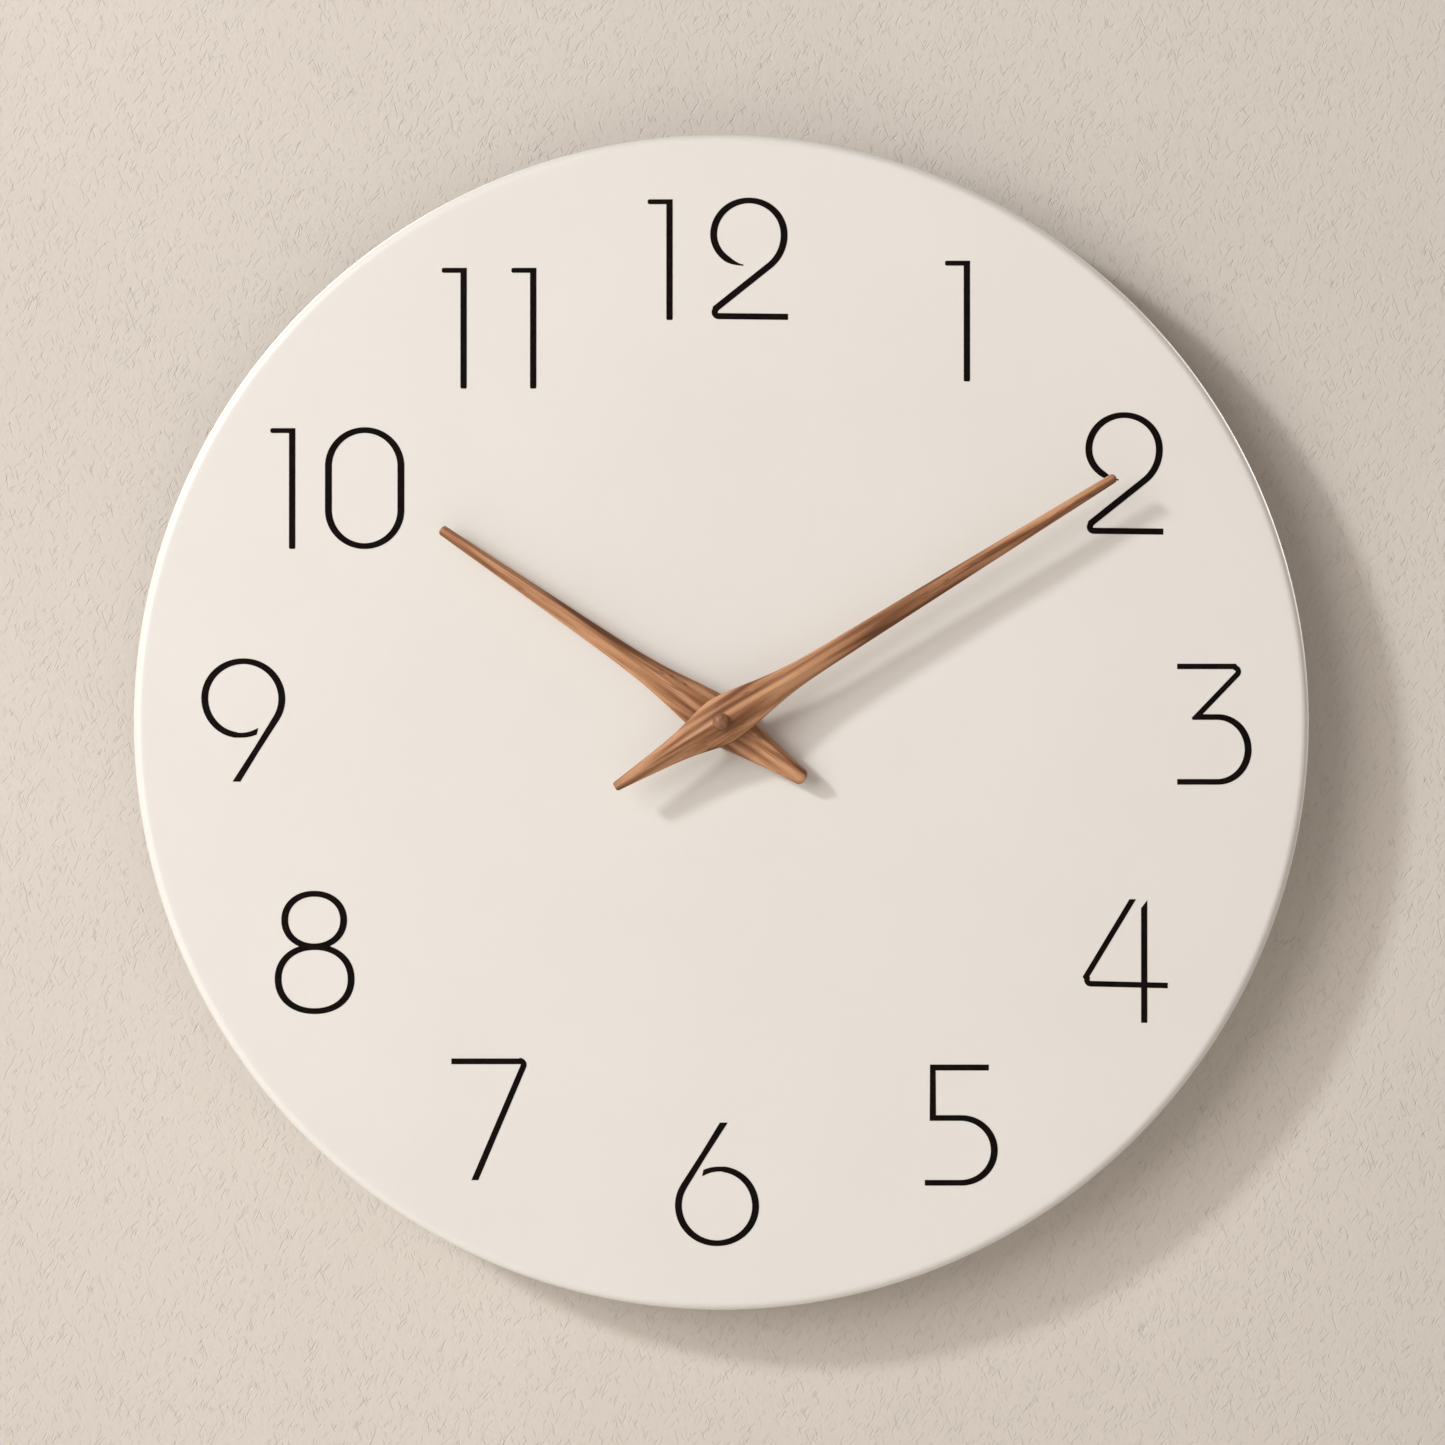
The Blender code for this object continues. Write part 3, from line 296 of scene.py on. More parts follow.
def wood_finish(name, shift):
    """Oiled hardwood, grained along Z: broad bands, thin dark growth lines, pores and a soft sheen."""
    made = Finish(name, Specular_IOR_Level=0.22)
    bands = made.noise(2.3, (1, 1, 16), detail=1, wander=0.2, shift=shift)
    fine = made.noise(0.45, (1, 1, 30), detail=2, shift=shift + 3)
    tone = made.sum(bands, fine, 0.11)
    light, warm, deep = (0.590, 0.318, 0.172), (0.385, 0.180, 0.088), (0.165, 0.066, 0.028)
    body = made.ramp(tone, (0.40, deep), (0.55, warm), (0.72, light))
    growth = made.noise(2.6, (1, 1, 20), detail=1, wander=0.15, shift=shift + 6)
    stops = [(0.0, 0.0)]
    for level in (0.36, 0.44, 0.52, 0.60):
        stops += [(level - 0.018, 0.0), (level, 1.0), (level + 0.006, 0.0)]
    lines = made.ramp(growth, *stops)
    fade = made.noise(2.4, (1, 1, 10), detail=1, shift=shift + 9)
    lines = made.mix(1.0, lines, made.ramp(fade, (0.46, 0.0), (0.66, 0.8)), "MULTIPLY")
    pores = made.ramp(made.noise(0.16, (1, 1, 16), detail=1, shift=shift), (0.62, 0.0), (0.74, 0.28))
    body = made.mix(lines, body, (0.085, 0.030, 0.013))
    made.colour(made.mix(pores, body, (0.17, 0.068, 0.031)))
    made.roughness(tone, 0.60, 0.48)
    made.bump(made.sum(fine, lines, -0.8), 0.05)
    made.bump(pores, -0.04)
    return made.material


def end_grain_finish():
    """The turned wooden cap: end grain with short pores and faint rings."""
    made = Finish("cap_wood", Specular_IOR_Level=0.35)
    rings = made.noise(0.9, (1, 3, 1), detail=2, wander=0.6)
    pores = made.ramp(made.noise(0.14, detail=1), (0.60, 0.0), (0.72, 0.5))
    body = made.ramp(rings, (0.35, (0.215, 0.095, 0.048)), (0.65, (0.325, 0.155, 0.082)))
    made.colour(made.mix(pores, body, (0.08, 0.032, 0.017)))
    made.roughness(rings, 0.5, 0.42)
    made.bump(pores, -0.03)
    return made.material


def metal_finish(name, light, dark, rough, grain, stretch, scratch=0.02, spread=0.16):
    """Metal with stains and fine marks: grain is their width, stretch their direction, scratch their
    depth and spread how far they raise the roughness."""
    made = Finish(name, Metallic=1.0)
    marks = made.noise(grain, stretch, detail=3)
    stains = made.noise(5, detail=3)
    made.tint(made.sum(stains, marks, 0.35), dark, light, 0.45, 0.85)
    made.roughness(marks, rough, rough + spread)
    made.bump(marks, scratch)
    return made.material


def plastic_finish(name, colour, rough, texture, depth, gloss_spread=0.12):
    """Moulded plastic with faint flow marks and a spark-eroded texture, of this width and depth."""
    made = Finish(name)
    pits = made.noise(texture, detail=3)
    flow = made.noise(14, (1, 1, 3), detail=2, wander=1.0)
    paler = tuple(min(1.0, value * 1.22 + 0.004) for value in colour)
    made.tint(flow, colour, paler, end=0.75)
    made.roughness(pits, rough - gloss_spread / 2, rough + gloss_spread / 2)
    made.bump(pits, depth)
    return made.material


def rubber_finish():
    made = Finish("black_rubber")
    bloom = made.noise(2.2, detail=4)
    made.tint(bloom, (0.014, 0.014, 0.014), (0.035, 0.034, 0.033), 0.35, 0.75)
    made.roughness(bloom, 0.75, 0.92)
    made.bump(made.noise(0.3, detail=2), 0.02)
    return made.material


def board_finish():
    """Phenolic paper laminate with tinned copper tracks under a solder mask."""
    made = Finish("paper_laminate")
    weave = made.noise(0.4, (4, 1, 1), detail=3)
    bands = made.bands(2.6, (1, 1, 3), 2.2)
    tracks = made.ramp(bands, (0.60, 0.0), (0.66, 1.0), (0.86, 1.0), (0.92, 0.0))
    body = made.ramp(weave, (0.3, (0.24, 0.125, 0.04)), (0.7, (0.36, 0.20, 0.07)))
    made.colour(made.mix(tracks, body, (0.42, 0.29, 0.13)))
    made.roughness(weave, 0.35, 0.5)
    made.bump(tracks, 0.035)
    return made.material


def resin_finish():
    made = Finish("black_resin", Coat_Weight=0.3, Coat_Roughness=0.1)
    flow = made.noise(1.5, detail=2)
    made.tint(flow, (0.006, 0.006, 0.007), (0.016, 0.016, 0.018))
    made.roughness(flow, 0.18, 0.3)
    made.bump(flow, 0.03)
    return made.material


def winding_finish():
    """Layers of enamelled copper wire, wound round the X axis."""
    made = Finish("copper_winding", Metallic=1.0, Coat_Weight=0.4, Coat_Roughness=0.15)
    turns = made.bands(0.12, (1, 40, 40), 0.3)
    tone = made.noise(1.4, (0.2, 1, 1), detail=2)
    made.tint(tone, (0.56, 0.20, 0.075), (0.80, 0.37, 0.17))
    made.roughness(tone, 0.26, 0.38)
    made.bump(turns, 0.05)
    return made.material


def sleeve_finish():
    """The printed film on the cell: deep green, with a pale band at the positive end."""
    made = Finish("cell_sleeve", Coat_Weight=0.5, Coat_Roughness=0.12)
    along = made.node("SeparateXYZ", made.place).outputs["X"]
    share = made.node("MapRange", along, From_Min=CELL_X[0] * MM, From_Max=CELL_X[1] * MM)
    band = made.ramp(share.outputs[0], (0.745, 0.0), (0.75, 1.0), (0.765, 1.0), (0.77, 0.0))
    haze = made.noise(3, (6, 1, 1), detail=3)
    body = made.ramp(haze, (0.3, (0.010, 0.075, 0.040)), (0.75, (0.017, 0.105, 0.058)))
    made.colour(made.mix(band, body, (0.56, 0.55, 0.50)))
    made.roughness(haze, 0.26, 0.38)
    made.bump(made.noise(2.4, (3, 1, 1), detail=2), 0.015)
    return made.material


def plaster_finish():
    """Pale beige rolled plaster with short scratches. It is clear from behind and casts no shadow."""
    made = Finish("wall_plaster")
    cloud = made.noise(160, detail=3)
    made.tint(cloud, (0.655, 0.612, 0.562), (0.700, 0.656, 0.604))
    made.roughness(cloud, 0.82, 0.92)
    height = made.noise(1.9, (1, 1, 1.6), detail=3, wander=0.6)
    for lean in (-20, 24, 42):
        strokes = made.noise(0.5, (1, 1, 7), detail=1, turn=(0, lean, 0), shift=lean)
        height = made.sum(height, made.ramp(strokes, (0.66, 0.0), (0.76, 1.0)), -1.1)
    made.bump(height, 0.09)
    behind = made.node("NewGeometry").outputs["Backfacing"]
    shadow = made.node("LightPath").outputs["Is Shadow Ray"]
    either = made.node("Math", behind, shadow)
    either.operation = "MAXIMUM"
    clear = made.node("BsdfTransparent")
    made.mix_shaders(either.outputs[0], made.shader, clear, "Material Output")
    return made.material


def floor_finish():
    """The pale floor, which glows a little so that it fills from below as a lit studio floor does."""
    made = Finish("studio_floor", Emission_Color=(1.0, 0.93, 0.85), Emission_Strength=0.2)
    cloud = made.noise(220, detail=3)
    made.tint(cloud, (0.66, 0.63, 0.59), (0.70, 0.67, 0.63))
    made.roughness(cloud, 0.75, 0.88)
    made.bump(made.noise(3, detail=3), 0.05)
    return made.material


LACQUER = lacquer_finish()
PRIMER = primer_finish()
FIBREBOARD = fibreboard_finish()
PRINT = ink_finish()
MINUTE_WOOD = wood_finish("minute_hand_wood", 0.0)
HOUR_WOOD = wood_finish("hour_hand_wood", 17.0)
CAP_WOOD = end_grain_finish()
ZINC_GREYS = (0.70, 0.705, 0.71), (0.60, 0.60, 0.605)
ZINC = metal_finish("zinc_plated_steel", *ZINC_GREYS, 0.36, 0.12, (1, 1, 6), 0.002, 0.06)
NICKEL_GREYS = (0.74, 0.72, 0.68), (0.58, 0.56, 0.53)
SPRING_STEEL = metal_finish("nickel_spring_steel", *NICKEL_GREYS, 0.2, 0.5, (6, 1, 1))
IRON = metal_finish("soft_iron", (0.42, 0.41, 0.40), (0.28, 0.275, 0.27), 0.38, 0.3, (12, 1, 1))
BRASS = metal_finish("brass", (0.80, 0.61, 0.31), (0.62, 0.43, 0.18), 0.22, 0.25, (6, 1, 6))
MAGNET = metal_finish("ferrite", (0.115, 0.112, 0.11), (0.06, 0.06, 0.062), 0.5, 0.12, (1, 1, 1))
CASE_PLASTIC = plastic_finish("black_case_plastic", (0.017, 0.0172, 0.018), 0.52, 0.22, 0.018)
COVER_PLASTIC = plastic_finish("black_cover_plastic", (0.019, 0.0192, 0.02), 0.46, 0.30, 0.02)
KNOB_PLASTIC = plastic_finish("knob_plastic", (0.045, 0.046, 0.05), 0.4, 0.16, 0.01)
MARK_PLASTIC = plastic_finish("mark_plastic", (0.10, 0.102, 0.105), 0.42, 0.16, 0.01)
PLATE_PLASTIC = plastic_finish("grey_plate_plastic", (0.27, 0.28, 0.29), 0.45, 0.3, 0.012)
GEAR_PLASTIC = plastic_finish("white_acetal", (0.74, 0.74, 0.70), 0.36, 0.4, 0.006, 0.08)
RUBBER = rubber_finish()
BOARD = board_finish()
RESIN = resin_finish()
WINDING = winding_finish()
SLEEVE = sleeve_finish()


# --- Meshes ---


def smooth(mesh, sharp_from=32):
    mesh.shade_smooth()
    mesh.set_sharp_from_angle(angle=radians(sharp_from))


def add_object(name, data):
    made = bpy.data.objects.new(name, data)
    bpy.context.scene.collection.objects.link(made)
    return made


def solid(name, points, faces):
    """A closed mesh object from points in millimetres."""
    bm = bmesh.new()
    verts = [bm.verts.new([value * MM for value in point]) for point in points]
    for face in faces:
        bm.faces.new([verts[i] for i in face])
    bmesh.ops.recalc_face_normals(bm, faces=bm.faces)
    return from_bmesh(name, bm)


def from_bmesh(name, bm):
    mesh = bpy.data.meshes.new(name)
    bm.to_mesh(mesh)
    bm.free()
    smooth(mesh)
    return add_object(name, mesh)


def prism(name, outline, depth):
    """The outline of (x, z) points, from depth[0] to depth[1] along Y."""
    count = len(outline)
    points = [(x, y, z) for y in depth for x, z in outline]
    faces = [list(range(count)), list(range(count, 2 * count))]
    for i in range(count):
        after = (i + 1) % count
        faces.append([i, after, count + after, count + i])
    return solid(name, points, faces)


def polar(centre, distance, degrees):
    """The point at this angle anticlockwise from +X."""
    angle = radians(degrees)
    return centre[0] + distance * cos(angle), centre[1] + distance * sin(angle)


def arc(centre, radius, start, end, steps=5):
    """Points of a profile's or path's arc, in degrees. radius may be (along u, along v)."""
    ru, rv = radius if isinstance(radius, tuple) else (radius, radius)
    made = []
    for i in range(steps + 1):
        angle = radians(start + (end - start) * i / steps)
        made.append((centre[0] + ru * cos(angle), centre[1] + rv * sin(angle)))
    return made


def rounded(x, z, corner, steps=8):
    """The outline of a rectangle with round corners."""
    left, right = x[0] + corner, x[1] - corner
    low, high = z[0] + corner, z[1] - corner
    return [
        *arc((right, high), corner, 0, 90, steps),
        *arc((left, high), corner, 90, 180, steps),
        *arc((left, low), corner, 180, 270, steps),
        *arc((right, low), corner, 270, 360, steps),
    ]


def square(at, half, corner, steps=8):
    """The outline of a rounded square about a point."""
    return rounded((at[0] - half, at[0] + half), (at[1] - half, at[1] + half), corner, steps)


def turned(name, profile, axis="Y", centre=(0.0, 0.0), segments=96):
    """The closed profile of (radius, along) points, turned about the axis through centre."""
    points, rings = [], []
    for radius, along in profile:
        ring = []
        for i in range(segments if radius > 0 else 1):
            u, v = polar(centre, radius, 360 * i / segments)
            ring.append(len(points))
            points.append((u, along, v) if axis == "Y" else (along, u, v))
        rings.append(ring)
    faces = []
    for first, second in zip(rings, rings[1:] + rings[:1]):
        if len(first) == len(second) == 1:
            continue
        for i in range(segments):
            a, b = first[i % len(first)], first[(i + 1) % len(first)]
            c, d = second[(i + 1) % len(second)], second[i % len(second)]
            faces.append(list(dict.fromkeys([a, b, c, d])))
    return solid(name, points, faces)


def rod(name, radius, depth, at=(0.0, 0.0), segments=64):
    profile = [(0, depth[0]), (radius, depth[0]), (radius, depth[1]), (0, depth[1])]
    return turned(name, profile, centre=at, segments=segments)


def evaluated_mesh(made):
    graph = bpy.context.evaluated_depsgraph_get()
    return bpy.data.meshes.new_from_object(made.evaluated_get(graph))


def settle(made):
    """Applies the object's modifiers to its mesh."""
    mesh = evaluated_mesh(made)
    made.modifiers.clear()
    made.data = mesh
    return made


def combine(made, others, operation):
    """Joins the others to the object or cuts them from it, then removes them."""
    for other in others:
        step = made.modifiers.new(other.name, "BOOLEAN")
        step.operation = operation
        step.solver = "EXACT"
        step.object = other
    settle(made)
    for other in others:
        bpy.data.objects.remove(other)
    smooth(made.data)


def bevel(bm, width, sharper_than):
    """Rounds over the edges that turn by more than an angle in degrees."""
    edges = [edge for edge in bm.edges if edge.calc_face_angle(0) > radians(sharper_than)]
    bmesh.ops.bevel(
        bm, geom=edges, offset=width * MM, segments=2, profile=0.5, affect="EDGES", clamp_overlap=True
    )


def ease_edges(made, width, sharper_than=28):
    """Joins the triangles of each flat face, then rounds over the sharp edges."""
    bm = bmesh.new()
    bm.from_mesh(made.data)
    bmesh.ops.remove_doubles(bm, verts=bm.verts, dist=MERGE)
    bmesh.ops.dissolve_limit(bm, angle_limit=radians(0.5), verts=bm.verts, edges=bm.edges)
    bevel(bm, width, sharper_than)
    bm.to_mesh(made.data)
    bm.free()
    smooth(made.data, 40)
    step = made.modifiers.new("flat faces keep flat shading", "WEIGHTED_NORMAL")
    step.keep_sharp = True
    step.weight = 100
    return settle(made)


def copy_of(node):
    """A new object with the CAD node's shape."""
    bm = bmesh.new()
    bm.from_mesh(frame["nodes"][node].data)
    bmesh.ops.remove_doubles(bm, verts=bm.verts, dist=MERGE)
    return from_bmesh(f"{node}_finished", bm)


def body_of(node):
    return frame["nodes"][node]["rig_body"]


def slot_of(node):
    for row in frame["record"]["subparts"]:
        if row["node"] == node:
            return row["material_slot"]


def stands_for(made, node, *looks):
    """Gives a piece its materials and puts it in the CAD node's place."""
    made.data.materials.clear()
    for look in looks:
        made.data.materials.append(look)
    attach(made, body_of(node))
    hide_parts(node)
    slot_of(node)


# --- Dial ---


def dial():
    """The round board, lacquered in front and primed behind, with a bare routed pocket and hole."""
    front, back, ease, back_ease = DIAL_FRONT, DIAL_BACK, DIAL_EASE, DIAL_BACK_EASE
    rim, hole = DIAL_RADIUS, DIAL_HOLE
    chamfer, flush, slack = 0.3, 0.01, 0.1
    profile = [
        (hole, back),
        (hole, front + chamfer),
        (hole + chamfer, front),
        (hole + 1.5, front),
        (rim - ease - 1.0, front),
        *arc((rim - ease, front + ease), ease, -90, 0, 12),
        (rim, back - back_ease - 0.5),
        *arc((rim - back_ease, back - back_ease), back_ease, 0, 90, 4),
        (rim - 3.0, back),
    ]
    board = turned("dial_board", profile, segments=288)
    x = (CASE_X[0] - POCKET_CLEARANCE, CASE_X[1] + POCKET_CLEARANCE)
    z = (CASE_Z[0] - POCKET_CLEARANCE, CASE_Z[1] + POCKET_ABOVE)
    floor = front + POCKET_SKIN
    combine(board, [prism("pocket", rounded(x, z, POCKET_CORNER), (floor, back + 1))], "DIFFERENCE")
    stands_for(board, "dial_disc", LACQUER, PRIMER, FIBREBOARD)
    for face in board.data.polygons:
        u, y, v = face.center / MM
        inside = x[0] - slack < u < x[1] + slack and z[0] - slack < v < z[1] + slack
        if y > back - flush:
            face.material_index = 1
        elif inside and (y > floor - flush or hypot(u, v) < hole + flush):
            face.material_index = 2


# --- Printed numbers ---

UPRIGHT, LEVEL, ROUND = 1.6, 1.38, 1.75  # stroke widths
LEVEL_OF_BOWL, LEVEL_OF_RING = LEVEL + 0.05, 1.47
CORNER_TURN = radians(25)  # a path that turns by more than this has a corner there
BLUNT = 0.8  # how far a sharp corner reaches past the path, in stroke widths


def crossing(p, d, q, e):
    """Where the line through p along d meets the line through q along e."""
    across = d.x * e.y - d.y * e.x
    return p + d * (((q.x - p.x) * e.y - (q.y - p.y) * e.x) / across)


def edges_of(path, widths, cuts, closed):
    """The left and right edges of a stroke. cuts are the angles its two ends are cut at, or None."""
    path = [Vector(point) for point in path]
    last = len(path) - 1
    left, right = [], []
    for i, here in enumerate(path):
        before = path[i - 1] if i or closed else None
        after = path[(i + 1) % len(path)] if i < last or closed else None
        into = (here - before).normalized() if before else (after - here).normalized()
        out = (after - here).normalized() if after else into
        turn = into.angle(out)
        if turn > CORNER_TURN:
            widths_here = (widths[i - 1], widths[(i + 1) % len(path)])
        else:
            widths_here = (widths[i], widths[i])
        for side, edge in ((1, left), (-1, right)):
            first = here + Vector((-into.y, into.x)) * side * widths_here[0] / 2
            second = here + Vector((-out.y, out.x)) * side * widths_here[1] / 2
            cut = cuts[0] if i == 0 else cuts[1] if i == last else None
            if cut is not None and not closed:
                along = Vector((cos(radians(cut)), sin(radians(cut))))
                edge.append(crossing(first, into, here, along))
            elif turn > CORNER_TURN:
                corner = crossing(first, into, second, out)
                axis = (corner - here).normalized()
                blunt = BLUNT * widths[i]
                if (corner - here).length < 1.2 * blunt:
                    edge.append(corner)
                elif axis.dot(into) > 0:
                    across = Vector((-axis.y, axis.x))
                    edge.append(crossing(first, into, here + axis * blunt, across))
                    edge.append(crossing(second, out, here + axis * blunt, across))
                else:
                    edge += [corner - into * 0.02, corner + out * 0.02]
            else:
                edge.append((first + second) / 2)
    return left, right


def film(name, stroke, place, thickness):
    """A stroke as a thin closed film. place turns (u, v, height) into a point in space."""
    path, widths, cuts, closed = stroke
    left, right = edges_of(path, widths, cuts, closed)
    points = []
    for a, b in zip(left, right):
        for height in (0, thickness):
            points += [place(a.x, a.y, height), place(b.x, b.y, height)]
    faces = []
    count = len(left)
    for i in range(count if closed else count - 1):
        a, b = 4 * i, 4 * ((i + 1) % count)
        for p, q in ((0, 1), (1, 3), (3, 2), (2, 0)):
            faces.append([a + p, a + q, b + q, b + p])
    if not closed:
        faces += [[0, 1, 3, 2], [4 * count - 4 + k for k in (0, 1, 3, 2)]]
    return solid(name, points, faces)


def line(*corners, width=UPRIGHT, widths=None, cuts=(None, None)):
    """A stroke through corners of (x, z) or (x, z, radius of a rounded corner)."""
    path, spread = [], []
    widths = widths or [width] * len(corners)
    for i, corner in enumerate(corners):
        here = Vector(corner[:2])
        if len(corner) == 2:
            path.append(here)
            spread.append(widths[i])
            continue
        into = (Vector(corners[i - 1][:2]) - here).normalized()
        out = (Vector(corners[i + 1][:2]) - here).normalized()
        half = into.angle(out) / 2
        radius = corner[2]
        centre = here + (into + out).normalized() * radius / sin(half)
        start = here + into * radius / tan(half) - centre
        end = here + out * radius / tan(half) - centre
        steps = 10
        for k in range(steps + 1):
            toward = start.slerp(end, k / steps) if k else start
            path.append(centre + toward)
            spread.append(widths[i])
    return path, spread, cuts, False


def bowl(*arcs, before=(), after=(), taper=None, cuts=(None, None)):
    """A stroke of arcs, each (centre, radii, start, end), between plain points before and after."""
    path = [*before]
    for centre, radii, start, end in arcs:
        points = arc(centre, radii, start, end, max(4, int(abs(end - start) / 5)))
        repeated = path and (Vector(path[-1]) - Vector(points[0])).length < 0.02
        path += points[1:] if repeated else points
    path += [*after]
    widths = []
    for i in range(len(path)):
        here = Vector(path[i])
        ahead = Vector(path[min(i + 1, len(path) - 1)]) - Vector(path[max(i - 1, 0)])
        steep = abs(ahead.normalized().y)
        wide = LEVEL_OF_BOWL + (ROUND - LEVEL_OF_BOWL) * steep
        widths.append(wide * (taper(here) if taper else 1.0))
    return path, widths, cuts, False


def joined(first, second):
    """Two strokes as one. The point that they share is as wide as it is in the second."""
    return first[0][:-1] + second[0], first[1][:-1] + second[1], (None, None), False


def loop(centre, radii, power=2.0, steps=72, straight=0.0):
    """A closed ring, wider at its sides than at its ends. straight lengthens its sides."""
    path, widths = [], []
    for i in range(steps):
        angle = 2 * pi * (i + 0.5) / steps
        c, s = cos(angle), sin(angle)
        x = radii[0] * abs(c) ** (2 / power) * (1 if c > 0 else -1)
        z = radii[1] * abs(s) ** (2 / power) * (1 if s > 0 else -1)
        path.append((centre[0] + x, centre[1] + z + (straight / 2 if s > 0 else -straight / 2)))
        widths.append(LEVEL_OF_RING + (ROUND - LEVEL_OF_RING) * abs(c) ** 1.5)
    return path, widths, (None, None), True


def one():
    """A short flag and a stem, narrower at their very ends."""
    flag, stem, tip = 1.25, 5.56, 0.35
    top = 30.8 - flag / 2
    corners = (0, top), (tip, top), (stem, top), (stem, tip), (stem, 0)
    return 6.36, [line(*corners, widths=[flag * 0.6, flag, flag, UPRIGHT, UPRIGHT * 0.8])]


def two():
    """A round bowl with a tapered hook, a diagonal and a level base."""
    middle_of_bowl = (9.95, 21.8)
    hook_end = 8.5

    def taper(here):
        low = here.y < middle_of_bowl[1] - 6.0 and here.x < hook_end + 0.3
        return max(0.22, min(1.0, (hook_end + 0.4 - here.x) / 4.2)) if low else 1.0

    hook = bowl(
        (middle_of_bowl, (8.99, 7.93), 261, 180),
        (middle_of_bowl, (8.99, 8.7), 180, 0),
        ((9.06, 21.6), (9.88, 9.88), 0, -51.7),
        taper=taper,
    )
    foot = line(hook[0][-1], (-1.22, 0.78, 1.2), (19.93, 0.78), widths=[hook[1][-1], 1.56, 1.56])
    return 20.0, [joined(hook, foot)]


def three():
    top = line((0, 30.1), (17.75, 30.1, 1.31), (4.85, 17.2), width=LEVEL)
    lower = bowl(
        ((10.3, 8.94), (7.77, 8.26), 90, -90),
        before=[(4.85, 17.2), (7.0, 17.2)],
        after=[(0, 0.68)],
    )
    return 19.1, [joined(top, lower)]


def four():
    corners = (12.89, 31.47), (-0.39, 9.49, 1.46), (21.78, 9.49)
    slope_and_bar = line(*corners, widths=[1.42, 1.42, 1.4], cuts=(0, None))
    stem = line((15.8, 30.2), (15.8, 0), width=1.56, cuts=(53, None))
    return 21.8, [slope_and_bar, stem]


def five():
    top = line((16.3, 30.1), (2.04, 30.1), (2.04, 17.25), widths=[1.5, UPRIGHT, UPRIGHT])
    lower = bowl(
        ((9.2, 9.0), (8.5, 8.25), 90, -90),
        before=[(2.04, 17.25), (5.0, 17.25)],
        after=[(0, 0.75)],
    )
    return 18.6, [joined(top, lower)]


def six():
    """A slanting stem that runs into the bowl, which stops just short of it."""

    def taper(here):
        return 0.86 if here.y > 18.5 and here.x < 12.0 else 1.0

    lean = 32.1
    side, radius = (10.16, 10.48), 9.24
    joint = polar(side, radius, 180 - lean)
    stem_top = (12.48, 31.56)
    body = bowl(
        (side, (radius, radius), 180 - lean, 180),
        ((10.72, 10.48), (9.80, 9.63), 180, 270),
        ((10.72, 10.24), (9.87, 9.39), 270, 360),
        ((11.33, 10.24), (9.26, 9.5), 0, 117),
        before=[stem_top, ((stem_top[0] + joint[0]) / 2, (stem_top[1] + joint[1]) / 2)],
        taper=taper,
        cuts=(0, 78),
    )
    return 21.4, [body]


def seven():
    corners = (0, 30.26), (18.74, 30.26, 0.87), (5.99, 0)
    return 19.1, [line(*corners, widths=[1.45, 1.5, UPRIGHT], cuts=(None, 0))]


def eight():
    lower = loop((10.19, 8.9), (9.3, 8.16), 2.15)
    upper = loop((10.06, 23.95), (7.51, 6.71), 2.1)
    return 20.4, [lower, upper]


def nine():
    width, (body,) = six()
    path, widths, cuts, closed = body
    height = 31.6
    turned_over = [Vector((width - point[0], height - point[1])) for point in path]
    return width, [(turned_over, widths, cuts, closed)]


def zero():
    radius, high, level = 9.25, 31.1, 1.5
    return 20.2, [loop((10.1, 15.5), (radius, radius), steps=96, straight=high - 2 * radius - level)]


DIGITS = [zero, one, two, three, four, five, six, seven, eight, nine]
CAP_HEIGHT = 31.0

# Where each number's middle is on the dial
HOURS = {
    12: (-0.8, 118.0),
    1: (60.3, 102.3),
    2: (102.8, 63.2),
    3: (125.8, -0.5),
    4: (102.9, -61.2),
    5: (61.2, -102.7),
    6: (-1.1, -118.2),
    7: (-59.2, -101.3),
    8: (-103.6, -59.0),
    9: (-121.8, 0.2),
    10: (-97.9, 59.6),
    11: (-59.2, 100.5),
}
DIGIT_GAPS = {10: 7.6, 11: 11.4, 12: 9.5}


def number(hour):
    x, z = HOURS[hour]
    gap = DIGIT_GAPS.get(hour, 0)
    glyphs = [DIGITS[int(digit)]() for digit in str(hour)]
    width = sum(glyph[0] for glyph in glyphs) + gap * (len(glyphs) - 1)
    left = x - width / 2
    foot = z - CAP_HEIGHT / 2

    def place(u, v, height):
        return (left + u, DIAL_FRONT - height, foot + v)

    films = []
    for wide, strokes in glyphs:
        for stroke in strokes:
            films.append(film(f"number_{hour}_{len(films)}", stroke, place, INK))
        left += wide + gap
    made = films[0]
    made.name = f"number_{hour}"
    if len(films) > 1:
        combine(made, films[1:], "UNION")
    made.data.materials.append(PRINT)
    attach(made, body_of("dial_disc"))


# --- Hands ---


def tapered(s, reach, tip, flare, hub, spread):
    """A hand's width at s along it: tip at its end, widening evenly, with a swelling at the hub."""
    return tip + flare * (1 - s / reach) + hub * exp(-((s / spread) ** 2))


def minute_width(s):
    if s < 0:
        return tapered(s, MINUTE_REACH[0], 2.3, 7.0, 2.9, 8.7)
    return tapered(s, MINUTE_REACH[1], 2.4, 4.2, 5.6, 14.5)


def hour_width(s):
    if s < 0:
        return tapered(s, HOUR_REACH[0], 3.9, 6.5, 1.6, 12.0)
    return tapered(s, HOUR_REACH[1], 2.6, 4.2, 5.2, 17.0)


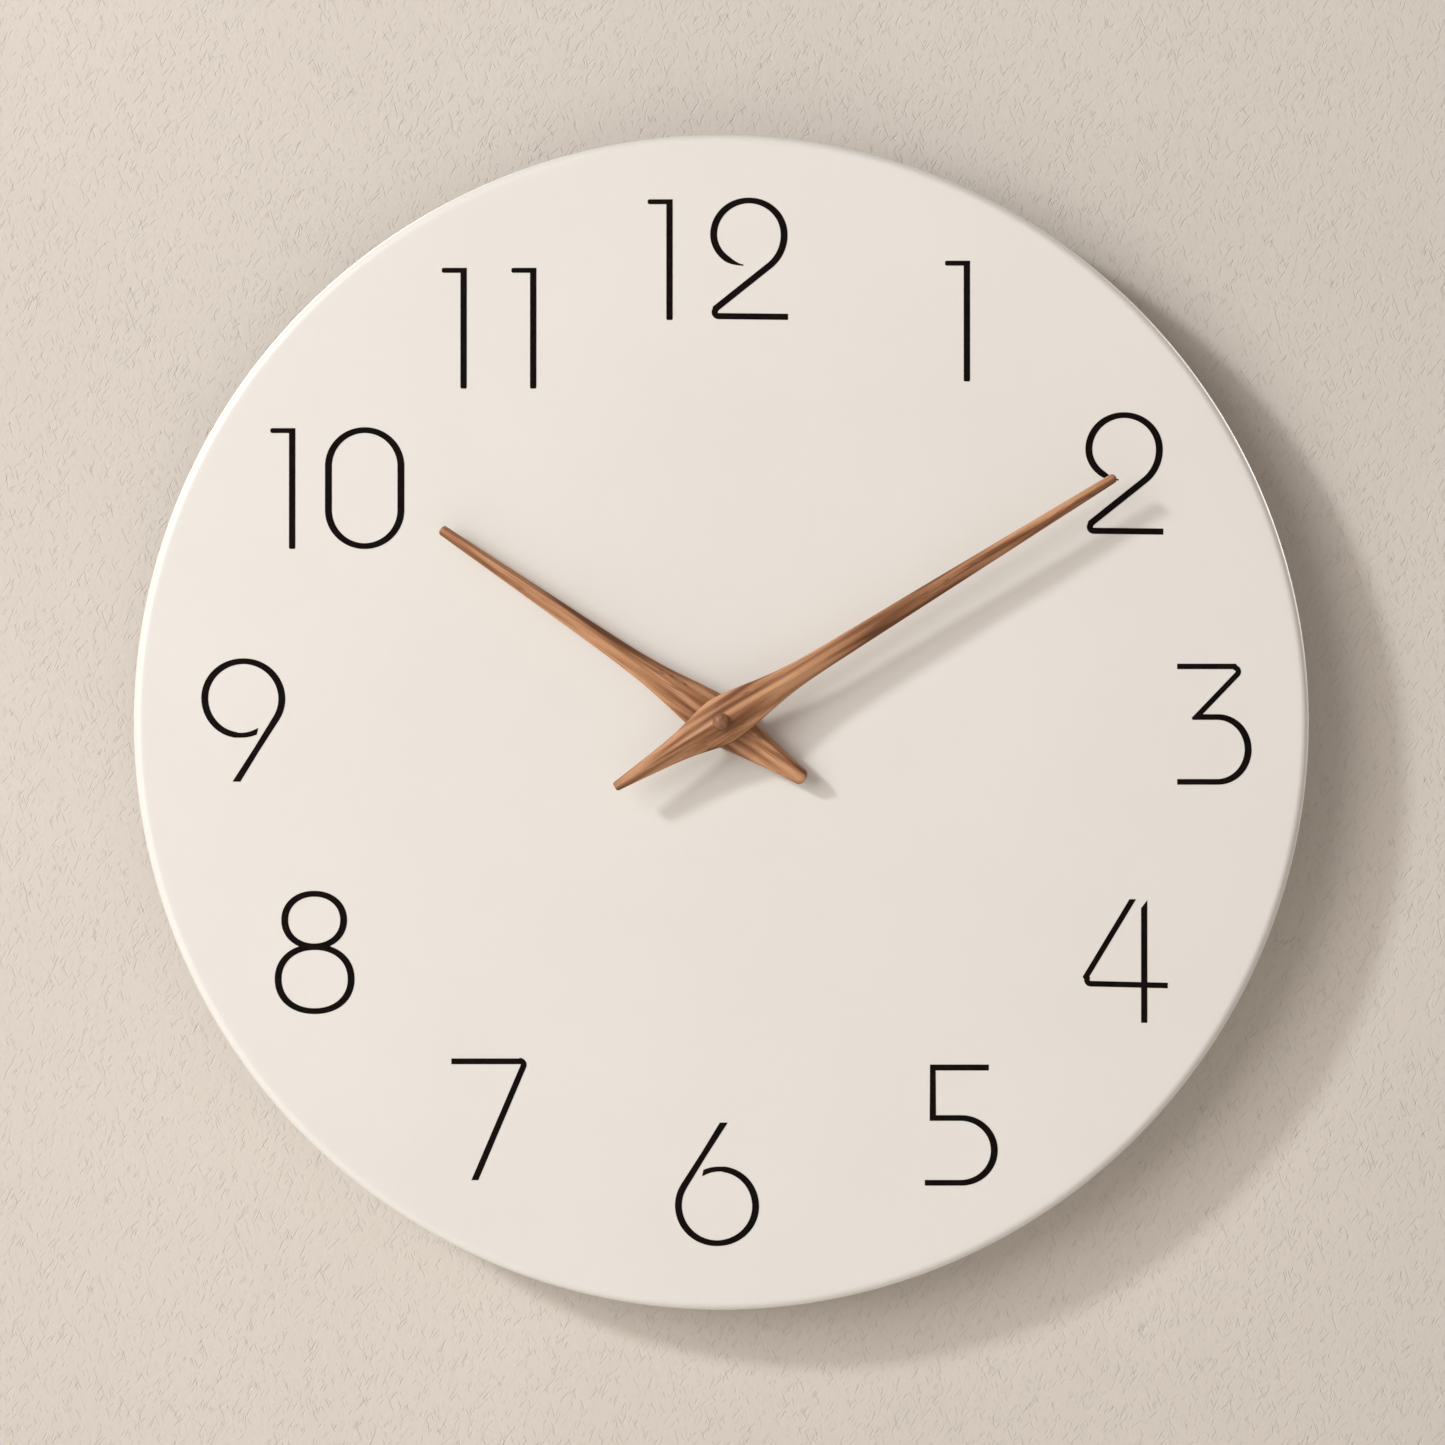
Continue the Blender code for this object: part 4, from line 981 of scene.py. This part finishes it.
def knife_cuts(rng, reach, spread):
    """A value along the hand that changes in straight stretches, as knife cuts leave it."""
    knots = [(reach[0] - 1, rng.uniform(-spread, spread))]
    while knots[-1][0] < reach[1]:
        step = KNIFE_STROKE * rng.uniform(0.6, 1.4)
        knots.append((knots[-1][0] + step, rng.uniform(-spread, spread)))

    def value(s):
        for (a, p), (b, q) in zip(knots, knots[1:]):
            if s <= b:
                return p + (q - p) * (s - a) / (b - a)
        return knots[-1][1]

    return value


def hand_stations(reach, width, blunt):
    """Where a hand's cross-sections are, and each one's share of the full width at its blunt ends."""
    count = int((reach[1] - reach[0]) / HAND_STATION)
    stations = [reach[0] + (reach[1] - reach[0]) * i / count for i in range(1, count)]
    for radius, end, sense in zip(blunt, reach, (1, -1)):
        stations = [s for s in stations if abs(s - end) > radius]
        stations += [end + sense * radius * (1 - cos(radians(a))) for a in (0, 20, 40, 60, 75, 90)]
    for s in sorted(stations):
        share = 1.0
        for radius, end in zip(blunt, reach):
            near = abs(s - end)
            if near < radius:
                floor = max(0.0, 1 - 2 * radius / width(end))
                share = floor + (1 - floor) * sqrt(max(0.04, 1 - (1 - near / radius) ** 2))
        yield s, share


def carved_hand(node, reach, width, angle, look, holes, seed, off_centre, blunt):
    """A hand with a flat back, low sides and long facets, pointing up before it is turned.

    off_centre is how far its crest lies to the right, as a share of half its width, and blunt is
    the radius of its tail and of its tip.
    """
    front, back = span(node, "Y")
    ridge = back - front - HAND_EDGE
    rng = random.Random(seed)
    sway, crest_left, crest_right, height_left, height_right, side_left, side_right = (
        knife_cuts(rng, reach, spread) for spread in (0.09, 0.06, 0.06, 0.07, 0.07, 0.10, 0.10)
    )
    points = []
    for s, share in hand_stations(reach, width, blunt):
        half = width(s) * share / 2
        rise = ridge * (width(s) / width(0)) ** 0.6 * (0.55 + 0.45 * share)
        crest = half * (off_centre + sway(s))
        edge = back - HAND_EDGE * (0.7 + 0.3 * share)
        slope = min(HAND_SLOPE, 0.3 * half)
        outline = [
            (-half, back),
            (-half, edge + 0.45),
            (slope - half, edge - 0.25 + side_left(s)),
            (crest - half * (0.07 + crest_left(s)), edge - rise * (0.95 + height_left(s))),
            (crest + half * (0.07 + crest_right(s)), edge - rise * (0.93 + height_right(s))),
            (half - slope, edge - 0.25 + side_right(s)),
            (half, edge + 0.45),
            (half, back),
        ]
        points += [(x, max(y, front + 0.02), s) for x, y in outline]
    sides = len(outline)
    faces = [list(range(sides)), list(range(len(points) - sides, len(points)))]
    for row in range(0, len(points) - sides, sides):
        for k in range(sides):
            a, b = row + k, row + (k + 1) % sides
            faces.append([a, b, b + sides, a + sides])
    name = f"carved_{node}"
    made = solid(name, points, faces)
    bm = bmesh.new()
    bm.from_mesh(made.data)
    bevel(bm, HAND_CORNER, 14)
    bm.to_mesh(made.data)
    bm.free()
    cutters = [rod(f"{name}_hole_{i}", radius, depth) for i, (radius, depth) in enumerate(holes)]
    combine(made, cutters, "DIFFERENCE")
    smooth(made.data, 24)
    made.rotation_euler.y = angle
    stands_for(made, node, look)


def hands():
    """Both hands, with ways for the shaft, their bushings and the cap."""
    cap_rear = span("hub_cap", "Y")[1]
    front, back = span("minute_hand", "Y")
    bushing_front = span("minute_hand_bushing", "Y")[0]
    play = 0.03
    holes = [
        (span("hub_cap", "X")[1] + play, (front - 1, cap_rear + 0.1)),
        (SHAFT_WAY, (front - 1, back + 1)),
        (span("minute_hand_bushing", "X")[1] + play, (bushing_front - 0.1, back + 1)),
    ]
    shape = (MINUTE_REACH, minute_width, MINUTE_ANGLE)
    carved_hand("minute_hand", *shape, MINUTE_WOOD, holes, seed=5, off_centre=0.0, blunt=(0.5, 0.9))
    front, back = span("hour_hand", "Y")
    holes = [(span("hour_hand_bushing", "X")[1] + play, (front - 1, back + 1))]
    shape = (HOUR_REACH, hour_width, HOUR_ANGLE)
    carved_hand("hour_hand", *shape, HOUR_WOOD, holes, seed=12, off_centre=0.46, blunt=(1.4, 0.8))


def cap():
    """A turned wooden dome with a softened edge, hollow over the end of the arbor."""
    front, rear = span("hub_cap", "Y")
    radius = span("hub_cap", "X")[1]
    bore, rise, ease = 1.65, 1.45, 0.15
    roof = front + 1.9
    profile = [
        *[(max(0.0, u), v) for u, v in arc((0, front + rise), (radius, rise), -90, 0, 14)],
        (radius, rear - ease),
        (radius - ease, rear),
        (bore, rear),
        (bore, roof),
        (0, roof),
    ]
    stands_for(turned("turned_hub_cap", profile, segments=64), "hub_cap", CAP_WOOD)


# --- Brass and steel on the axis ---


def bush():
    """The fine-threaded brass bush that clamps the movement to the dial."""
    front, rear = span("threaded_bush", "Y")
    flange = span("threaded_bush", "X")[1]
    bore, crest, pitch, depth = 3.0, 3.98, 0.75, 0.4
    flange_front = rear - 0.5
    per_turn, segments = 8, 64
    rings = int((flange_front - front) / pitch * per_turn)
    points, faces = [], []
    for i in range(rings + 1):
        y = front + (flange_front - front) * i / rings
        for k in range(segments):
            phase = (y / pitch - k / segments) % 1.0
            groove = depth * max(0.0, 1 - abs(phase - 0.5) * 2.6)
            lead_in = min(0.5, max(0.0, 0.5 - (y - front)))
            u, v = polar((0, 0), crest - max(groove, lead_in), 360 * k / segments)
            points.append((u, y, v))
    ends = [(flange, flange_front), (flange, rear), (bore, rear), (bore, front)]
    for radius, y in ends:
        for k in range(segments):
            u, v = polar((0, 0), radius, 360 * k / segments)
            points.append((u, y, v))
    count = rings + 1 + len(ends)
    for i in range(count):
        for k in range(segments):
            a, b = i * segments + k, i * segments + (k + 1) % segments
            c, d = ((i + 1) % count) * segments + k, ((i + 1) % count) * segments + (k + 1) % segments
            faces.append([a, b, d, c])
    stands_for(solid("cut_threaded_bush", points, faces), "threaded_bush", BRASS)


def nut():
    """A hexagonal nut with its corners turned off at both faces."""
    front, rear = span("mounting_nut", "Y")
    corner = max(span("mounting_nut", "X")[1], span("mounting_nut", "Z")[1])
    hexagon = [polar((0, 0), corner, 30 + 60 * i) for i in range(6)]
    made = prism("chamfered_nut", hexagon, (front, rear))
    bore, drop, face_edge, past = 4.02, 0.35, corner - 0.75, 0.01
    outside = [
        (0, front - past),
        (face_edge, front - past),
        (corner + 0.1, front + drop),
        (corner + 0.1, rear - drop),
        (face_edge, rear + past),
        (0, rear + past),
    ]
    combine(made, [turned("nut_turning", outside)], "INTERSECT")
    combine(made, [rod("nut_bore", bore, (front - 1, rear + 1))], "DIFFERENCE")
    stands_for(ease_edges(made, 0.06, 40), "mounting_nut", BRASS)


def washers():
    for node, look, bore, ease in (
        ("front_washer", BRASS, 4.3, 0.12),
        ("rubber_washer", RUBBER, 4.3, 0.25),
        ("minute_hand_bushing", BRASS, 1.75, 0.15),
        ("hour_hand_bushing", BRASS, 2.9, 0.15),
    ):
        profile = rounded((bore, span(node, "X")[1]), span(node, "Y"), ease, 3)
        stands_for(turned(f"turned_{node}", profile, segments=72), node, look)


# --- Movement seen from behind ---


def raised_mark(name, strokes, back, node, height=0.2):
    """Strokes that stand proud of a face at y = back and move with the node."""

    def place(u, v, above):
        return (u, back - height + above, v)

    for i, stroke in enumerate(strokes):
        made = film(f"{name}_{i}", stroke, place, 2 * height)
        made.data.materials.append(MARK_PLASTIC)
        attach(made, body_of(node))


def arrow_arc(centre, radius, start, end, width=1.1):
    """A curved arrow from start to end, with its head past the end."""
    path = arc(centre, radius, start, end, 20)
    shaft = (path, [width] * len(path), (None, None), False)
    ahead = (end - start) / abs(end - start)
    tip = polar(centre, radius, end + ahead * 18)
    base = polar(centre, radius, end - ahead * 0.5)
    return [shaft, line(base, tip, widths=[3.6, 0.3])]


def rear_cover():
    """The clip-on cover: a sunk panel, and sunk pads with raised arrows and polarity signs."""
    made = copy_of("rear_cover")
    back = COVER_BACK
    sunk = 0.3
    panel = rounded((CASE_X[0] + 4.5, 1.5), (COVER_Z[0] + 8.0, COVER_Z[1] - 4.5), 1.5)
    clear_of_knob = KNOB_RADIUS + 3.6
    pad_half = 2.6
    inner_arc = arc(KNOB_AT, KNOB_RADIUS, 14, 166, 40)  # inside the knob's window
    outer_arc = arc(KNOB_AT, clear_of_knob + pad_half, 166, 14, 40)
    pads = [panel, inner_arc + outer_arc]
    marks = arrow_arc(KNOB_AT, clear_of_knob, 28, 60) + arrow_arc(KNOB_AT, clear_of_knob, 152, 120)
    plus, minus = (CASE_X[1] - 4.0, COVER_Z[0] + 3.2), (CASE_X[0] + 4.0, COVER_Z[0] + 3.2)
    pads += [square(plus, pad_half, 1.0), square(minus, pad_half, 1.0)]
    arm, bar = 1.5, 0.7
    marks += [
        line((plus[0] - arm, plus[1]), (plus[0] + arm, plus[1]), width=bar),
        line((plus[0], plus[1] - arm), (plus[0], plus[1] - bar / 2), width=bar),
        line((plus[0], plus[1] + bar / 2), (plus[0], plus[1] + arm), width=bar),
        line((minus[0] - arm, minus[1]), (minus[0] + arm, minus[1]), width=bar),
    ]
    cutters = [prism(f"pad_{i}", pad, (back - sunk, back + 1)) for i, pad in enumerate(pads)]
    for i, at in enumerate(((-20.0, 19.6), (24.0, 18.0), (4.8, 18.6))):
        cutters.append(rod(f"ejector_mark_{i}", 1.3, (back - 0.12, back + 1), at, 40))
    combine(made, cutters, "DIFFERENCE")
    raised_mark("cover_mark", marks, back - sunk, "rear_cover")
    stands_for(ease_edges(made, 0.16), "rear_cover", COVER_PLASTIC)


def knob():
    """The setting knob, with a turned ring and a raised arrow on its face."""
    made = copy_of("setting_knob")
    inner, outer, floor, above = 3.9, 4.5, KNOB_BACK - 0.35, KNOB_BACK + 1
    profile = [(inner, floor), (outer, floor), (outer, above), (inner, above)]
    x, z = KNOB_AT
    arrow = [
        line((x, z - 2.7), (x, z + 0.4), width=0.9),
        line((x, z + 0.2), (x, z + 3.0), widths=[3.4, 0.3]),
    ]
    combine(made, [turned("knob_ring", profile, centre=KNOB_AT)], "DIFFERENCE")
    raised_mark("knob_mark", arrow, KNOB_BACK, "setting_knob", 0.12)
    stands_for(ease_edges(made, 0.1), "setting_knob", KNOB_PLASTIC)


def eased_copies():
    """Pieces whose CAD shape is right but for its sharp edges."""
    for node, width, look in (
        ("front_shell", 0.22, CASE_PLASTIC),
        ("hanger_plate", 0.18, ZINC),
        ("battery_plate_contact", 0.1, SPRING_STEEL),
    ):
        stands_for(ease_edges(copy_of(node), width), node, look)


def cell():
    """A plain AA cell: a steel can with its nub, in a printed sleeve."""
    left = CELL_X[0]
    shoulder = CELL_X[1] - CELL_NUB[1]
    nub = CELL_NUB[0]
    inner = CELL_RADIUS - 0.2
    can = [
        (0, left + 0.25),
        (4.6, left + 0.25),
        (5.0, left),
        *arc((inner - 0.6, left + 0.6), 0.6, -90, 0, 5),
        *arc((inner - 0.7, shoulder - 0.7), 0.7, 0, 90, 5),
        (nub + 2.2, shoulder),
        (nub + 1.9, shoulder - 0.3),
        (nub + 0.35, shoulder - 0.3),
        (nub, shoulder - 0.1),
        *arc((nub - 0.4, CELL_X[1] - 0.4), 0.4, 0, 90, 4),
        (0, CELL_X[1]),
    ]
    body = turned("cell_can", can, "X", CELL_AXIS)
    stands_for(body, "battery_cell", SPRING_STEEL)
    film_profile = [
        (inner - 0.9, left + 0.06),
        *arc((CELL_RADIUS - 0.8, left + 0.86), 0.8, -80, 0, 6),
        *arc((CELL_RADIUS - 0.9, shoulder - 0.86), 0.9, 0, 80, 6),
        (inner - 0.95, shoulder - 0.02),
        *arc((inner - 0.7, shoulder - 0.7), 0.72, 80, 0, 5),
        *arc((inner - 0.6, left + 0.6), 0.62, 0, -80, 5),
    ]
    sleeve = turned("cell_film", film_profile, "X", CELL_AXIS)
    sleeve.data.materials.append(SLEEVE)
    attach(sleeve, body_of("battery_cell"))


def spring():
    """The conical coil spring that presses on the cell, and the plate that it stands on."""
    left, right = span("battery_spring_contact", "X")
    y = middle("battery_spring_contact", "Y")
    z = middle("battery_spring_contact", "Z")
    thickness, wire, turns, steps = 0.4, 0.35, 2.0, 110
    wide_end, narrow_end = 4.6, 2.6
    plate = prism("spring_plate", square((0, 0), 5.3, 0.9, 5), (0, thickness))
    for vertex in plate.data.vertices:
        u, along, v = vertex.co
        vertex.co = (left * MM + along, y * MM + u, z * MM + v)
    route = []
    start, end = left + thickness - 0.05, right - wire
    for i in range(steps + 1):
        share = i / steps
        radius = wide_end + (narrow_end - wide_end) * share
        rise = min(1.0, max(0.0, (share - 0.04) / 0.86))
        u, v = polar((y, z), radius, 360 * turns * share)
        route.append((start + (end - start) * rise, u, v))
    curve = bpy.data.curves.new("spring_wire", "CURVE")
    curve.dimensions = "3D"
    curve.bevel_depth = wire * MM
    curve.bevel_resolution = 4
    curve.use_fill_caps = True
    spline = curve.splines.new("POLY")
    spline.points.add(len(route) - 1)
    for point, at in zip(spline.points, route):
        point.co = (*[value * MM for value in at], 1.0)
    wire_object = add_object("spring_wire", curve)
    coil = add_object("cell_spring", evaluated_mesh(wire_object))
    bpy.data.objects.remove(wire_object)
    smooth(coil.data, 60)
    coil.data.materials.append(SPRING_STEEL)
    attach(coil, "case")
    stands_for(plate, "battery_spring_contact", SPRING_STEEL)


def inner_parts():
    """The parts inside the case keep their CAD shapes and get their own materials."""
    wheels = ["hour", "minute", "centre", "third", "second", "intermediate"]
    for look, *nodes in (
        (PLATE_PLASTIC, "middle_plate", "coil_bobbin"),
        (BOARD, "circuit_board"),
        (RESIN, "timer_chip"),
        (ZINC, "quartz_crystal"),
        (IRON, "coil_core", "stator_plate"),
        (WINDING, "coil_winding"),
        (MAGNET, "rotor"),
        (GEAR_PLASTIC, "minute_arbor", *(f"{wheel}_wheel" for wheel in wheels)),
    ):
        for node in nodes:
            mesh = frame["nodes"][node].data
            mesh.materials.clear()
            mesh.materials.append(look)


# --- Stage ---


def flat(name, corners, look):
    mesh = bpy.data.meshes.new(name)
    mesh.from_pydata([Vector(corner) * MM for corner in corners], [], [range(len(corners))])
    mesh.materials.append(look)
    made = add_object(name, mesh)
    return made


def stage():
    """The wall just behind the clock, the floor under it and an even light from all round."""
    gap, low, high = 0.3, -700, 2600
    wide, deep = 3000, 4000
    corners = [(-wide, gap, low), (wide, gap, low), (wide, gap, high), (-wide, gap, high)]
    wall = flat("wall", corners, plaster_finish())
    wall.visible_diffuse = False
    corners = [(-deep, -deep, low), (deep, -deep, low), (deep, deep, low), (-deep, deep, low)]
    flat("floor", corners, floor_finish())
    world = bpy.data.worlds.new("studio")
    made = Nodes(world)
    light = made.tree.nodes["Background"]
    made.fill(light, {"Color": (1.0, 0.87, 0.785), "Strength": 0.27})
    backdrop = made.node("Background", (0.56, 0.535, 0.50))
    seen = made.node("LightPath").outputs["Is Camera Ray"]
    made.mix_shaders(seen, light, backdrop, "World Output")
    bpy.context.scene.world = world


def area_light(name, toward, distance, size, watts, colour):
    """A round light, size metres across, that shines on the origin from distance metres away."""
    data = bpy.data.lights.new(name, "AREA")
    data.shape = "DISK"
    data.size = size
    data.energy = watts
    data.color = colour
    made = add_object(name, data)
    made.location = Vector(toward).normalized() * distance
    made.rotation_euler = Vector(toward).to_track_quat("Z", "Y").to_euler()
    made.visible_camera = False
    return data


def lights():
    area_light("window", (-0.688, -0.588, 0.421), 3.05, 0.32, 37.0, (0.98, 1.0, 0.98))
    area_light("sky", (-0.60, -0.74, 0.20), 2.6, 1.8, 33.0, (1.0, 0.955, 0.93))
    for name, toward in (("rear_left", (-0.5, 0.75, 0.45)), ("rear_right", (0.7, 0.6, 0.35))):
        behind = area_light(name, toward, 1.9, 0.9, REAR_WATTS, (1.0, 0.98, 0.95))
        behind.cycles.max_bounces = 0


def camera():
    azimuth, elevation = radians(CAMERA_AZIMUTH), radians(CAMERA_ELEVATION)
    back = Vector((sin(azimuth) * cos(elevation), -cos(azimuth) * cos(elevation), sin(elevation)))
    data = bpy.data.cameras.new("camera")
    data.lens = CAMERA_LENS
    data.clip_start = 0.05
    data.clip_end = 20.0
    made = add_object("camera", data)
    made.location = (Vector(CAMERA_AIM) + back * CAMERA_DISTANCE) * MM
    made.rotation_euler = back.to_track_quat("Z", "Y").to_euler()
    bpy.context.scene.camera = made


camera()
stage()
lights()
bpy.context.scene.view_settings.view_transform = "Standard"

dial()
for hour in HOURS:
    number(hour)
hands()
cap()
bush()
nut()
washers()
rear_cover()
knob()
eased_copies()
cell()
spring()
inner_parts()

bpy.context.view_layer.update()
